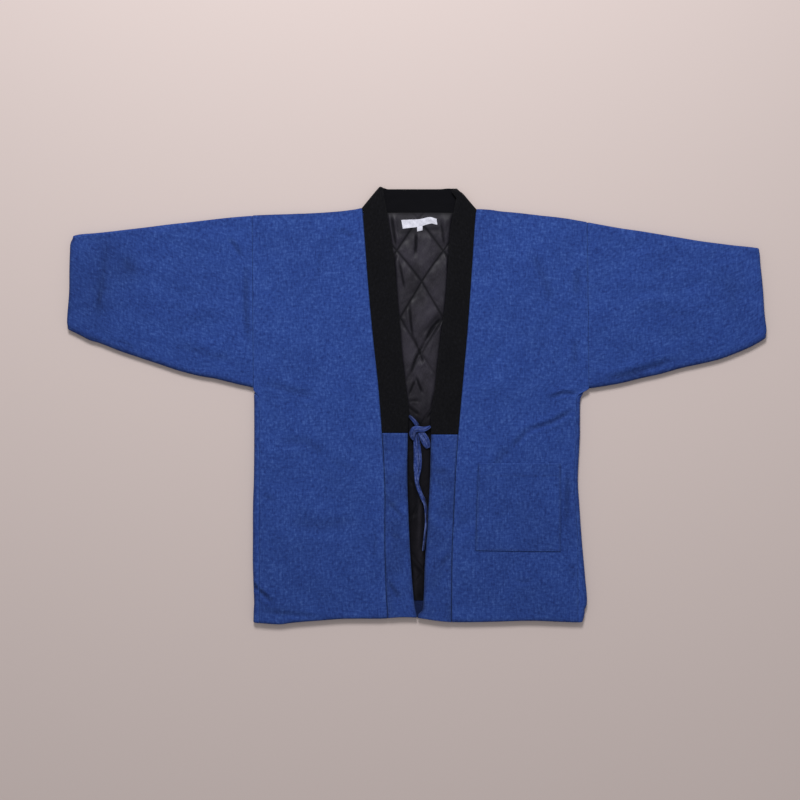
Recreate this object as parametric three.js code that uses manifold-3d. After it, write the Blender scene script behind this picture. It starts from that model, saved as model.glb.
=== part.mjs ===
// A wadded hanten jacket laid flat on its back, front upward and both sleeves out.
// The outer cloth is blue; a folded black collar runs round the neck and down both front edges,
// and goes on below as blue bands. The quilted lining shows between them, crossed by the knotted ties.
//
// Frame: millimetres, Z up from the surface it lies on, Y from hem to collar, X toward the wearer's
// left sleeve. Left and right in the names are the wearer's.

import * as THREE from "three";
import { mergeVertices } from "three/addons/utils/BufferGeometryUtils.js";
import Module from "manifold-3d";

const wasm = await Module();
wasm.setup();

const { lerp, smoothstep, clamp, degToRad } = THREE.MathUtils;

// Driving sizes
const SEAM_GAP = 0.3; // between pieces sewn edge to edge
const WALL = 5; // outer cloth, wadding and lining together
const FOLD_HOLLOW = 1.2; // space inside a folded edge
const BAND_WALL = 5.2; // folded collar and front bands
const LINING_WALL = 1.2;
const QUILT_RISE = 2; // swell of a quilted diamond above its stitch lines
const DIAMOND = { halfWidth: 41.7, halfHeight: 70 };
const FRONT_PUFF = 2.5; // swell of a front above its edges
const SLEEVE_PUFF = 2.7;
const PUFF_REACH = 90; // how far in from an edge the swell is full
const TIE_WIDTH = 14;
const TIE_WALL = 1.8;
const POCKET_WALL = 1.6;
const LABEL_WALL = 0.8;

// Heights of the cloth's middle surface
const FOLD_MID = (FOLD_HOLLOW + WALL) / 2; // radius of a folded edge
const FOLD_OUT = FOLD_MID + WALL / 2;
const LOWER_Z = WALL / 2;
const FOLD_Z = FOLD_OUT;
const UPPER_Z = FOLD_Z + FOLD_MID;
const LINING_Z = WALL + SEAM_GAP; // its underside
const NECK_Z = BAND_WALL / 2;
const BAND_Z = LINING_Z + LINING_WALL + SEAM_GAP + BAND_WALL / 2;

// Rows of the body run from 0 at the hem to 1 where the shoulder starts to turn over
const COLLAR_END = 0.451;
const UNDERARM = { from: 14, to: 32 }; // y over which the side fold opens into the armhole
const SIDE_SEAM = { inset: 8, right: -304.5, left: 312.7 };

// Outline of the body: y down each side, then x across the hem and the shoulders
const SIDES = [
  { y: -418, right: -314.5, left: 321.7 },
  { y: -402, right: -313.7, left: 326.5 },
  { y: -384, right: -313.3, left: 331.5 },
  { y: -367, right: -313.3, left: 328.8 },
  { y: -308, right: -315.2, left: 323 },
  { y: -192, right: -315.2, left: 315.2 },
  { y: -144, right: -313, left: 312.6 },
  { y: -60, right: -312.3, left: 316.6 },
  { y: 16, right: -312.6, left: 317.4 },
  { y: 28, right: -313.6, left: 322.5 },
  { y: 35, right: -314.5, left: 334 },
];
const ARMHOLE = { from: 35, to: 368, right: [-314.5, -318.2], left: [334, 331] };
const HEM = [
  { x: -335, y: -417 },
  { x: -276, y: -421 },
  { x: -226, y: -416 },
  { x: -168, y: -410 },
  { x: -119, y: -408.4 },
  { x: -65, y: -410.3 },
  { x: -3, y: -406.4 },
  { x: 15, y: -410 },
  { x: 69, y: -417 },
  { x: 143, y: -417 },
  { x: 240, y: -413.6 },
  { x: 335, y: -418.5 },
];
const SHOULDERS = [
  { x: -335, y: 368 },
  { x: -294, y: 370.5 },
  { x: -177, y: 375.4 },
  { x: -119, y: 380.2 },
  { x: -105, y: 383.5 },
  { x: 115, y: 381.4 },
  { x: 143, y: 381 },
  { x: 201, y: 373.5 },
  { x: 288, y: 362.8 },
  { x: 335, y: 355.8 },
];
const NECKLINE = [
  { x: -105, y: 377.5 },
  { x: -80, y: 375.2 },
  { x: -56, y: 373.5 },
  { x: 59, y: 373.5 },
  { x: 88, y: 374.3 },
  { x: 115, y: 375.4 },
];

// Each front's seam with the collar and band, and the free edge of that collar and band
const BAND_SEAM = {
  right: [
    { y: -410, x: -55.5 },
    { y: -359, x: -58.8 },
    { y: -256, x: -61.5 },
    { y: -155, x: -61.5 },
    { y: -52, x: -67 },
    { y: 39, x: -74 },
    { y: 132, x: -84 },
    { y: 225, x: -92.7 },
    { y: 318, x: -99.7 },
    { y: 384, x: -105 },
  ],
  left: [
    { y: -414, x: 67.5 },
    { y: -285, x: 69 },
    { y: -211, x: 72 },
    { y: -116, x: 76.4 },
    { y: -31, x: 82.8 },
    { y: 62, x: 91.2 },
    { y: 155, x: 99.3 },
    { y: 248, x: 106 },
    { y: 341, x: 112 },
    { y: 381.4, x: 115 },
  ],
};
const FREE_EDGE = {
  right: [
    { y: -406, x: 0.4 },
    { y: -384, x: -4.1 },
    { y: -314, x: -10.3 },
    { y: -221, x: -15.1 },
    { y: -128, x: -17.8 },
    { y: -52, x: -16.5 },
    { y: -12, x: -15.4 },
    { y: 39, x: -21.3 },
    { y: 97, x: -28.1 },
    { y: 213, x: -37.8 },
    { y: 283, x: -43.8 },
    { y: 374, x: -57.2 },
    { y: 424, x: -67 },
  ],
  left: [
    { y: -408, x: 3.6 },
    { y: -384, x: 12.6 },
    { y: -314, x: 15.5 },
    { y: -221, x: 21.5 },
    { y: -151, x: 25.6 },
    { y: -56, x: 28 },
    { y: -19, x: 28.6 },
    { y: 39, x: 36.5 },
    { y: 116, x: 45.2 },
    { y: 213, x: 57.2 },
    { y: 341, x: 66 },
    { y: 380, x: 73 },
    { y: 421, x: 81 },
  ],
};
const NECK_FREE_Y = 421; // free edge of the collar behind the neck

// Sleeves: upper and lower edges along x, and the cuff line from its lower to its upper corner
const SLEEVES = {
  right: {
    edges: [
      { x: -678, top: 325, bottom: 151 },
      { x: -653, top: 329, bottom: 139.7 },
      { x: -606, top: 333.7, bottom: 120.3 },
      { x: -513, top: 347.3, bottom: 89.2 },
      { x: -467, top: 353, bottom: 72.8 },
      { x: -420, top: 358.9, bottom: 62.1 },
      { x: -342, top: 366.3, bottom: 46.6 },
      { x: -323, top: 367.6, bottom: 39 },
      { x: -314, top: 368, bottom: 33 },
    ],
    cuff: [
      { w: 0, x: -676.5 },
      { w: 0.1, x: -674 },
      { w: 0.5, x: -669.5 },
      { w: 0.9, x: -667.5 },
      { w: 1, x: -660 },
    ],
  },
  left: {
    edges: [
      { x: 330, top: 356.8, bottom: 35 },
      { x: 360, top: 350.5, bottom: 39.8 },
      { x: 406, top: 341.5, bottom: 47.5 },
      { x: 500, top: 327, bottom: 72.8 },
      { x: 593, top: 312.8, bottom: 94.1 },
      { x: 639, top: 305.6, bottom: 112.5 },
      { x: 678, top: 302, bottom: 136.5 },
    ],
    cuff: [
      { w: 0, x: 677.5 },
      { w: 0.07, x: 675 },
      { w: 0.42, x: 670.3 },
      { w: 0.9, x: 665.5 },
      { w: 1, x: 662 },
    ],
  },
};

// The largest soft folds on the upper cloth, each from one end to the other; a trough is negative
const FOLDS = [
  { x1: 318, y1: 18, x2: 262, y2: 24, reach: 16, height: 1.3 },
  { x1: 294, y1: -12, x2: 181, y2: -72, reach: 22, height: 1.1 },
  { x1: -310, y1: -352, x2: -278, y2: -384, reach: 16, height: 1.2 },
  { x1: -300, y1: 12, x2: -238, y2: -30, reach: 24, height: 0.9 },
  { x1: -170, y1: 330, x2: -215, y2: 120, reach: 40, height: -0.6 },
  { x1: 215, y1: 330, x2: 250, y2: 120, reach: 40, height: -0.6 },
  { x1: -600, y1: 318, x2: -590, y2: 170, reach: 26, height: -1.1 },
  { x1: -390, y1: 74, x2: -330, y2: 140, reach: 26, height: 1 },
  { x1: 395, y1: 64, x2: 345, y2: 130, reach: 26, height: 1 },
  { x1: 560, y1: 116, x2: 575, y2: 250, reach: 28, height: -0.9 },
];

const POCKET = {
  topRight: { x: 120.3, y: -110.6 },
  topLeft: { x: 278.4, y: -110.6 },
  bottomRight: { x: 114.5, y: -279.4 },
  bottomLeft: { x: 278.4, y: -281.3 },
};

const LABEL = {
  topStart: { x: -29.5, y: 361.2 },
  topEnd: { x: 38.8, y: 364.1 },
  bottomStart: { x: -26.6, y: 343.4 },
  bottomEnd: { x: 41.1, y: 350.2 },
  bulge: 3,
};
const TAB = { x: 7, width: 12, length: 9 };

// Ties: the strip's middle line, its height, its share of the full width and its lean in degrees
const TIES = {
  tie_right: [
    { x: -9.2, y: -17.6, z: 9.8, width: 0.72, lean: 0 },
    { x: 0.5, y: -28.5, z: 10.6, width: 0.72, lean: 0 },
    { x: 4.8, y: -41.5, z: 12.2, width: 0.6, lean: 0 },
    { x: 9.5, y: -55, z: 12.3, width: 0.85, lean: 0 },
    { x: 15, y: -67, z: 11.4, width: 0.9, lean: 0 },
    { x: 19.6, y: -79, z: 10, width: 0.55, lean: 0 },
  ],
  tie_right_end: [
    { x: 0.6, y: -56, z: 9.8, width: 0.5, lean: 0 },
    { x: 0.4, y: -75, z: 9.8, width: 0.9, lean: 4 },
    { x: 0.6, y: -104, z: 9.9, width: 0.95, lean: 0 },
    { x: -1, y: -136, z: 9.9, width: 0.8, lean: -12 },
    { x: 1.6, y: -156, z: 10.4, width: 0.7, lean: 10 },
    { x: 9.6, y: -174, z: 11, width: 0.8, lean: 26 },
    { x: 15.4, y: -194, z: 13.2, width: 0.85, lean: 58 },
    { x: 16.4, y: -222, z: 13.8, width: 0.85, lean: 66 },
    { x: 13.4, y: -252, z: 13.8, width: 0.85, lean: 66 },
    { x: 11.4, y: -280, z: 13.4, width: 0.8, lean: 62 },
  ],
  tie_left: [
    { x: 25.4, y: -39.6, z: 10.4, width: 0.5, lean: 0 },
    { x: 19, y: -43.4, z: 13.2, width: 0.55, lean: 0 },
    { x: 9, y: -43.4, z: 15, width: 0.6, lean: 0 },
    { x: -0.6, y: -42.4, z: 14.6, width: 0.75, lean: 0 },
    { x: -7, y: -47.5, z: 12.4, width: 0.75, lean: 0 },
    { x: -8, y: -57, z: 12.1, width: 0.7, lean: 0 },
    { x: -6.4, y: -66, z: 11.9, width: 0.35, lean: 0 },
  ],
};

// How finely each piece is divided
const COUNTS = {
  hemToCollar: 9,
  collarToUnderarm: 2,
  underarmToShoulder: 8,
  turn: 3,
  front: 13,
  backSide: 4,
  backNeck: 6,
  sleeveLength: 12,
  sleeveFlat: 7,
  fold: 5,
  bandWidth: 3,
  neck: 7,
  crease: 6,
  pocket: 8,
  quiltPerHalf: 3,
};

const COLOURS = { blue: 0x2c4681, band: 0x27407a, black: 0x161618, satin: 0x2e2d34, white: 0xe1e1eb };

// A smooth curve through a table's rows, from its key column to its value column
function through(table, key, value) {
  const last = table.length - 1;
  const slope = (k) => {
    const before = table[Math.max(k - 1, 0)];
    const after = table[Math.min(k + 1, last)];
    return (after[value] - before[value]) / (after[key] - before[key]);
  };
  return (at) => {
    const next = table.findIndex((row) => row[key] > at);
    const i = clamp(next === -1 ? last - 1 : next - 1, 0, last - 1);
    const span = table[i + 1][key] - table[i][key];
    const t = clamp((at - table[i][key]) / span, 0, 1);
    const ease = t * t * (3 - 2 * t);
    const bend = t * (1 - t) * ((1 - t) * slope(i) - t * slope(i + 1));
    return lerp(table[i][value], table[i + 1][value], ease) + span * bend;
  };
}

const steps = (from, to, count) => Array.from({ length: count + 1 }, (_, k) => lerp(from, to, k / count));
const point = (x, y, z) => new THREE.Vector3(x, y, z);
const pointWithNormal = (x, y, z, normal) => Object.assign(point(x, y, z), { normal });

const hemY = through(HEM, "x", "y");
const shoulderY = through(SHOULDERS, "x", "y");
const necklineY = through(NECKLINE, "x", "y");
const foldX = { right: through(SIDES, "y", "right"), left: through(SIDES, "y", "left") };
const armholeX = (side, y) => lerp(...ARMHOLE[side], (y - ARMHOLE.from) / (ARMHOLE.to - ARMHOLE.from));
// The body's outermost x: its side fold, or the armhole seam above it
const edgeX = (side, y) => (y > ARMHOLE.from ? armholeX(side, y) : foldX[side](y));
const bandSeamX = { right: through(BAND_SEAM.right, "y", "x"), left: through(BAND_SEAM.left, "y", "x") };
const freeX = { right: through(FREE_EDGE.right, "y", "x"), left: through(FREE_EDGE.left, "y", "x") };
const outward = { right: -1, left: 1 };
const NECK_ENDS = { right: NECKLINE[0].x, left: NECKLINE.at(-1).x };

// The closed mesh of a sheet of cloth from rows of points on its middle surface. The face looks along
// the cross product of a row's direction and the direction from row to row. A point may state its normal.
function cloth(rows, wall, { loop = false, swell = () => 0, split = () => false } = {}) {
  const rowCount = rows.length;
  const width = rows[0].length;
  const wrap = (j) => (loop ? (j + width) % width : clamp(j, 0, width - 1));
  const at = (i, j) => rows[clamp(i, 0, rowCount - 1)][wrap(j)];
  const positions = [];
  for (const side of [1, -1]) {
    for (let i = 0; i < rowCount; i++) {
      for (let j = 0; j < width; j++) {
        const along = at(i, j + 1).clone().sub(at(i, j - 1));
        const across = at(i + 1, j).clone().sub(at(i - 1, j));
        const normal = rows[i][j].normal ?? along.cross(across).normalize();
        const offset = side === 1 ? wall / 2 + swell(rows[i][j]) : -wall / 2;
        positions.push(...rows[i][j].clone().addScaledVector(normal, offset).toArray());
      }
    }
  }
  const face = (i, j) => i * width + wrap(j);
  const back = (i, j) => rowCount * width + face(i, j);
  const index = [];
  const quad = (a, b, c, d, other = false) =>
    other ? index.push(a, b, d, b, c, d) : index.push(a, b, c, a, c, d);
  const columns = loop ? width : width - 1;
  for (let i = 0; i < rowCount - 1; i++) {
    for (let j = 0; j < columns; j++) {
      quad(face(i, j), face(i, j + 1), face(i + 1, j + 1), face(i + 1, j), split(i, j));
      quad(back(i, j), back(i + 1, j), back(i + 1, j + 1), back(i, j + 1));
    }
  }
  const top = rowCount - 1;
  for (let j = 0; j < columns; j++) {
    quad(face(0, j), back(0, j), back(0, j + 1), face(0, j + 1));
    quad(face(top, j + 1), back(top, j + 1), back(top, j), face(top, j));
  }
  for (let i = 0; !loop && i < top; i++) {
    quad(face(i, 0), face(i + 1, 0), back(i + 1, 0), back(i, 0));
    quad(face(i + 1, width - 1), face(i, width - 1), back(i, width - 1), back(i + 1, width - 1));
  }
  const geometry = new THREE.BufferGeometry();
  geometry.setAttribute("position", new THREE.Float32BufferAttribute(positions, 3));
  geometry.setIndex(index);
  return geometry;
}

// Height of one soft fold at a place: a rounded ridge along a line, fading at both ends
function foldHeight(fold, x, y) {
  const length = Math.hypot(fold.x2 - fold.x1, fold.y2 - fold.y1);
  const dx = (fold.x2 - fold.x1) / length;
  const dy = (fold.y2 - fold.y1) / length;
  const along = ((x - fold.x1) * dx + (y - fold.y1) * dy) / length;
  const aside = (x - fold.x1) * dy - (y - fold.y1) * dx;
  const ends = smoothstep(along, -0.2, 0.25) * (1 - smoothstep(along, 0.75, 1.2));
  return fold.height * ends * Math.exp(-((aside / fold.reach) ** 2));
}
const foldsHeight = (x, y) => FOLDS.reduce((sum, fold) => sum + foldHeight(fold, x, y), 0);

// Body rows: flat ones from hem to shoulder, then the turned shoulder edge
const FLAT_ROWS = [
  ...steps(0, COLLAR_END, COUNTS.hemToCollar),
  ...steps(COLLAR_END, 0.544, COUNTS.collarToUnderarm).slice(1),
  0.555,
  0.566,
  0.577,
  0.588,
  ...steps(0.612, 1, COUNTS.underarmToShoulder),
];
const TURNS = steps(0, 90, COUNTS.turn).slice(1).map(degToRad);

const flatY = (x, row, topY = shoulderY) => lerp(hemY(x), topY(x) - FOLD_OUT, row);
const sideY = (side, row) => flatY(320 * outward[side], row);
// 1 where the back wraps round the side edge, 0 where it lies open at the armhole
const wrapAt = (y) => 1 - smoothstep(y, UNDERARM.from, UNDERARM.to);

function sideSeamX(side, y) {
  const inset = edgeX(side, y) - SIDE_SEAM.inset * outward[side];
  return side === "right" ? Math.max(inset, SIDE_SEAM.right) : Math.min(inset, SIDE_SEAM.left);
}

// Where a front's outer edge lies: at the armhole, or below it at the side seam
function frontEdgeX(side, y) {
  const wrapped = wrapAt(y);
  const slack = SEAM_GAP / 2 + 3.2 * wrapped * (1 - wrapped);
  return lerp(edgeX(side, y), sideSeamX(side, y), wrapped) - slack * outward[side];
}

function frontLift(side, x, y) {
  const fromSide = smoothstep(outward[side] * (frontEdgeX(side, y) - x), 0, PUFF_REACH);
  const fromEnds = smoothstep(y - hemY(x), 0, PUFF_REACH) * smoothstep(shoulderY(x) - y, FOLD_OUT, PUFF_REACH);
  const fromBand = smoothstep(outward[side] * (x - bandSeamX[side](y)), 0, PUFF_REACH);
  const open = fromSide * fromEnds;
  return open * (0.14 + 0.86 * fromBand) * FRONT_PUFF + fromSide * foldsHeight(x, y);
}

const frontZ = (side, x, y) => UPPER_Z + SEAM_GAP / 2 + frontLift(side, x, y);

// The point of a front's seam with its collar at a row
function bandSeam(side, row) {
  const guess = bandSeamX[side](lerp(-410, 377, row));
  const y = flatY(guess, row);
  return { x: bandSeamX[side](y), y };
}

function frontGeometry(side) {
  const across = side === "right" ? steps(0, 1, COUNTS.front) : steps(1, 0, COUNTS.front);
  const rowPoints = (row, turn) =>
    across.map((u) => {
      const inner = bandSeam(side, row).x + (SEAM_GAP / 2) * outward[side];
      const x = lerp(frontEdgeX(side, sideY(side, row)), inner, u);
      const y = flatY(x, row);
      if (turn === 0) return point(x, y, frontZ(side, x, y));
      const normal = point(0, Math.sin(turn), Math.cos(turn));
      const z = FOLD_Z + SEAM_GAP / 2 + FOLD_MID * Math.cos(turn);
      return pointWithNormal(x, y + FOLD_MID * Math.sin(turn), z, normal);
    });
  const rows = FLAT_ROWS.map((row) => rowPoints(row, 0));
  TURNS.forEach((turn) => rows.push(rowPoints(1, turn)));
  return cloth(rows, WALL);
}

// One side of a back row, from the sewn edge round the side fold to the flat
function backSide(side, row) {
  const sign = outward[side];
  const y = sideY(side, row);
  const fold = edgeX(side, y) - FOLD_OUT * sign;
  const start = sideSeamX(side, y) + (SEAM_GAP / 2) * sign;
  const wrapped = [{ x: start, z: UPPER_Z }, { x: fold, z: UPPER_Z }];
  steps(0, Math.PI, COUNTS.fold).slice(1).forEach((angle) =>
    wrapped.push({ x: fold + sign * FOLD_MID * Math.sin(angle), z: FOLD_Z + FOLD_MID * Math.cos(angle) }),
  );
  const armhole = edgeX(side, y) - (SEAM_GAP / 2) * sign;
  return wrapped.map((place, k) => ({
    x: lerp(lerp(armhole, fold, k / (wrapped.length - 1)), place.x, wrapAt(y)),
    z: lerp(LOWER_Z, place.z, wrapAt(y)),
  }));
}

function backTopY(x) {
  const inNeck = x >= NECK_ENDS.right && x <= NECK_ENDS.left;
  return inNeck ? necklineY(x) : shoulderY(x);
}

function backGeometry() {
  const turned = (x) => (x < NECK_ENDS.right || x > NECK_ENDS.left ? 1 : 0);
  const rowPoints = (row, turn) => {
    const rightSide = backSide("right", row);
    const leftSide = backSide("left", row).reverse();
    const middle = [
      ...steps(rightSide.at(-1).x, NECK_ENDS.right - SEAM_GAP, COUNTS.backSide).slice(1),
      ...steps(NECK_ENDS.right, NECK_ENDS.left, COUNTS.backNeck),
      ...steps(NECK_ENDS.left + SEAM_GAP, leftSide[0].x, COUNTS.backSide).slice(0, -1),
    ];
    const places = [...rightSide, ...middle.map((x) => ({ x, z: LOWER_Z })), ...leftSide];
    return places.map(({ x, z }) => {
      const y = flatY(x, row, backTopY);
      const share = turned(x);
      if (turn === 0) return point(x, y, z);
      const flatReach = ((FOLD_OUT - SEAM_GAP / 2) * turn) / (Math.PI / 2);
      const reach = lerp(flatReach, FOLD_MID * Math.sin(turn), share);
      const up = share * (FOLD_MID - SEAM_GAP / 2) * (1 - Math.cos(turn));
      const normal = point(0, -Math.sin(turn * share), Math.cos(turn * share));
      return pointWithNormal(x, y + reach, z + up, normal);
    });
  };
  const rows = FLAT_ROWS.map((row) => rowPoints(row, 0));
  TURNS.forEach((turn) => rows.push(rowPoints(1, turn)));
  return cloth(rows, WALL);
}

// A flattened tube from the armhole to the cuff, open at both ends
function sleeveGeometry(side) {
  const { edges, cuff } = SLEEVES[side];
  const topY = through(edges, "x", "top");
  const bottomY = through(edges, "x", "bottom");
  const cuffX = through(cuff, "w", "x");
  const ring = [
    ...steps(1, 0, COUNTS.sleeveFlat).map((w) => ({ w, angle: 180 })),
    ...steps(180, 0, COUNTS.fold).slice(1, -1).map((angle) => ({ w: 0, angle, sign: -1 })),
    ...steps(0, 1, COUNTS.sleeveFlat).map((w) => ({ w, angle: 0 })),
    ...steps(0, 180, COUNTS.fold).slice(1, -1).map((angle) => ({ w: 1, angle, sign: 1 })),
  ];
  const stations = steps(0, 1, COUNTS.sleeveLength).map((s) =>
    ring.map(({ w, angle, sign = 0 }) => {
      const start = ARMHOLE[side][0];
      const armY = lerp(bottomY(start) + FOLD_OUT, topY(start) - FOLD_OUT, w);
      const x = lerp(armholeX(side, armY) + (SEAM_GAP / 2) * outward[side], cuffX(w), s);
      const turn = degToRad(angle);
      const y = lerp(bottomY(x) + FOLD_OUT, topY(x) - FOLD_OUT, w) + sign * FOLD_MID * Math.sin(turn);
      const upper = angle === 0 ? 1 : 0;
      const full = smoothstep(s, 0, 0.25) * (1 - 0.45 * smoothstep(s, 0.75, 1));
      const lift = upper * Math.sin(Math.PI * w) * (full * SLEEVE_PUFF + full * foldsHeight(x, y));
      const z = FOLD_Z + FOLD_MID * Math.cos(turn) + lift;
      if (s > 0 && s < 1) return point(x, y, z);
      return pointWithNormal(x, y, z, point(0, sign * Math.sin(turn), Math.cos(turn)));
    }),
  );
  if (side === "left") stations.reverse();
  return cloth(stations, WALL, { loop: true });
}

// A row across the collar, from its seam to its free edge, in plan
const acrossBand = (seam, free) => steps(0, 1, COUNTS.bandWidth).map((u) => point(lerp(seam.x, free.x, u), lerp(seam.y, free.y, u), 0));

function legRow(side, row) {
  const seam = bandSeam(side, row);
  const share = (row - COLLAR_END) / (1 - COLLAR_END);
  const end = FREE_EDGE[side].at(-1);
  const freeY = lerp(bandSeam(side, COLLAR_END).y, end.y - FOLD_OUT, share);
  const start = { x: seam.x - (SEAM_GAP / 2) * outward[side], y: seam.y };
  return acrossBand(start, { x: freeX[side](freeY), y: freeY });
}

// The rows of the crease where the collar turns from the neck over to the front
function creaseRows(side) {
  const seamEnd = point(NECK_ENDS[side] - SEAM_GAP * outward[side], shoulderY(NECK_ENDS[side]), 0);
  const freeEnd = point(FREE_EDGE[side].at(-1).x, FREE_EDGE[side].at(-1).y, 0);
  const line = freeEnd.clone().sub(seamEnd).normalize();
  const inward = side === "right" ? point(line.y, -line.x, 0) : point(-line.y, line.x, 0);
  const radius = (BAND_Z - NECK_Z) / 2;
  return steps(90, -90, COUNTS.crease).map((angle) => {
    const turn = degToRad(angle);
    const shift = inward.clone().multiplyScalar(BAND_WALL / 2 + radius * (1 - Math.cos(turn)));
    const rowPoints = acrossBand(seamEnd, freeEnd).map((place) => place.add(shift));
    rowPoints.forEach((place) => place.setZ((BAND_Z + NECK_Z) / 2 + radius * Math.sin(turn)));
    return rowPoints;
  });
}

function neckRows() {
  const rightEnd = creaseRows("right").at(-1);
  const leftEnd = creaseRows("left").at(-1);
  return steps(0, 1, COUNTS.neck).slice(1, -1).map((t) => {
    const seamX = lerp(rightEnd[0].x, leftEnd[0].x, t);
    const free = { x: lerp(rightEnd.at(-1).x, leftEnd.at(-1).x, t), y: NECK_FREE_Y };
    const seam = { x: seamX, y: necklineY(seamX) + SEAM_GAP / 2 };
    return acrossBand(seam, free).map((place) => place.setZ(NECK_Z));
  });
}

function collarGeometry() {
  const leg = (side) =>
    FLAT_ROWS.filter((row) => row >= COLLAR_END && row < 0.99).map((row) =>
      legRow(side, row).map((place) => place.setZ(BAND_Z)),
    );
  const rows = [...leg("right"), ...creaseRows("right"), ...neckRows()];
  rows.push(...creaseRows("left").reverse(), ...leg("left").reverse());
  return cloth(rows.map((rowPoints) => rowPoints.reverse()), BAND_WALL);
}

// The blue band below the collar
function bandGeometry(side) {
  const rows = FLAT_ROWS.filter((row) => row <= COLLAR_END).map((row) => {
    const seam = bandSeam(side, row);
    const drop = row === COLLAR_END ? SEAM_GAP : 0;
    const free = { x: freeX[side](seam.y), y: seam.y - drop };
    const start = { x: seam.x - (SEAM_GAP / 2) * outward[side], y: seam.y - drop };
    return acrossBand(start, free).map((place) => place.setZ(BAND_Z));
  });
  return cloth(side === "right" ? rows : rows.reverse(), BAND_WALL);
}

// Height of the quilting: nothing on the stitch lines and full in the middle of a diamond
const QUILT_CROSSING = { x: 10.1, y: 241.1 };
const LINING = { hem: -382, neck: 372.6, margin: 12, flatNeck: 90, flatEdge: 14 };
function quiltSwell({ x, y }) {
  const a = (x - QUILT_CROSSING.x) / DIAMOND.halfWidth;
  const b = (y - QUILT_CROSSING.y) / DIAMOND.halfHeight;
  const diamond = Math.abs(Math.sin((Math.PI * (a + b)) / 2) * Math.sin((Math.PI * (a - b)) / 2));
  const fromBands = Math.min(x - freeX.right(y), freeX.left(y) - x);
  const open = smoothstep(fromBands, LINING.flatEdge, 2 * LINING.flatEdge) * smoothstep(y - LINING.hem, 4, 30);
  return QUILT_RISE * diamond * open * smoothstep(LINING.neck - y, 0, LINING.flatNeck);
}

const solidOf = (geometry) => {
  const bare = geometry.clone();
  bare.deleteAttribute("normal");
  bare.deleteAttribute("uv");
  const merged = mergeVertices(bare);
  return new wasm.Manifold(
    new wasm.Mesh({
      numProp: 3,
      vertProperties: merged.attributes.position.array,
      triVerts: new Uint32Array(merged.index.array),
    }),
  );
};

const geometryOf = (solid) => {
  const mesh = solid.getMesh();
  const geometry = new THREE.BufferGeometry();
  geometry.setAttribute("position", new THREE.Float32BufferAttribute(mesh.vertProperties, 3));
  geometry.setIndex(Array.from(mesh.triVerts));
  return geometry;
};

// The quilted lining: a field of diamonds cut to what shows and a margin under the collar
function liningGeometry() {
  const n = COUNTS.quiltPerHalf;
  const column = (k) => QUILT_CROSSING.x + (k * DIAMOND.halfWidth) / n;
  const line = (k) => QUILT_CROSSING.y + (k * DIAMOND.halfHeight) / n;
  const first = { column: -2 * n, line: -9 * n };
  const rows = steps(0, 11 * n, 11 * n).map((i) =>
    steps(0, 4 * n, 4 * n).map((j) => point(column(first.column + j), line(first.line + i), LINING_Z + LINING_WALL / 2)),
  );
  const onFallingLine = (i, j) => (first.line + i + first.column + j + 1) % (2 * n) === 0;
  const field = cloth(rows, LINING_WALL, { swell: quiltSwell, split: onFallingLine });
  const outline = new THREE.Shape();
  const heights = steps(LINING.hem, LINING.neck, 24);
  outline.setFromPoints([
    ...heights.map((y) => new THREE.Vector2(freeX.left(y) + LINING.margin, y)),
    ...heights.toReversed().map((y) => new THREE.Vector2(freeX.right(y) - LINING.margin, y)),
  ]);
  const cutter = new THREE.ExtrudeGeometry(outline, { depth: 40, bevelEnabled: false });
  return geometryOf(solidOf(field).intersect(solidOf(cutter)));
}

// The patch pocket lies on the left front, raised from its face
function pocketGeometry() {
  const { topRight, topLeft, bottomRight, bottomLeft } = POCKET;
  const rows = steps(0, 1, COUNTS.pocket).map((v) =>
    steps(0, 1, COUNTS.pocket).map((u) => {
      const x = lerp(lerp(bottomRight.x, bottomLeft.x, u), lerp(topRight.x, topLeft.x, u), v);
      const y = lerp(lerp(bottomRight.y, bottomLeft.y, u), lerp(topRight.y, topLeft.y, u), v);
      return point(x, y, frontZ("left", x, y) + WALL / 2 + SEAM_GAP + POCKET_WALL / 2);
    }),
  );
  return cloth(rows, POCKET_WALL);
}

const LABEL_Z = LINING_Z + LINING_WALL + 2.4 * SEAM_GAP + LABEL_WALL / 2;

function labelPoint(u, v) {
  const { topStart, topEnd, bottomStart, bottomEnd, bulge } = LABEL;
  const x = lerp(lerp(bottomStart.x, bottomEnd.x, u), lerp(topStart.x, topEnd.x, u), v);
  const y = lerp(lerp(bottomStart.y, bottomEnd.y, u), lerp(topStart.y, topEnd.y, u), v);
  return point(x, y + bulge * smoothstep(u, 0.45, 0.82) * (1 - smoothstep(u, 0.82, 1)), LABEL_Z);
}

const labelGeometry = () =>
  cloth(steps(0, 1, 2).map((v) => steps(0, 1, 10).map((u) => labelPoint(u, v))), LABEL_WALL);

function tabGeometry() {
  const u = (x) => (x - LABEL.bottomStart.x) / (LABEL.bottomEnd.x - LABEL.bottomStart.x);
  const rows = [TAB.length, TAB.length / 2, 0].map((drop) =>
    steps(-0.5, 0.5, 2).map((k) => {
      const x = TAB.x + k * TAB.width;
      return labelPoint(u(x), 0).add(point(0, -SEAM_GAP - drop, 0));
    }),
  );
  return cloth(rows, LABEL_WALL);
}

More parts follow.
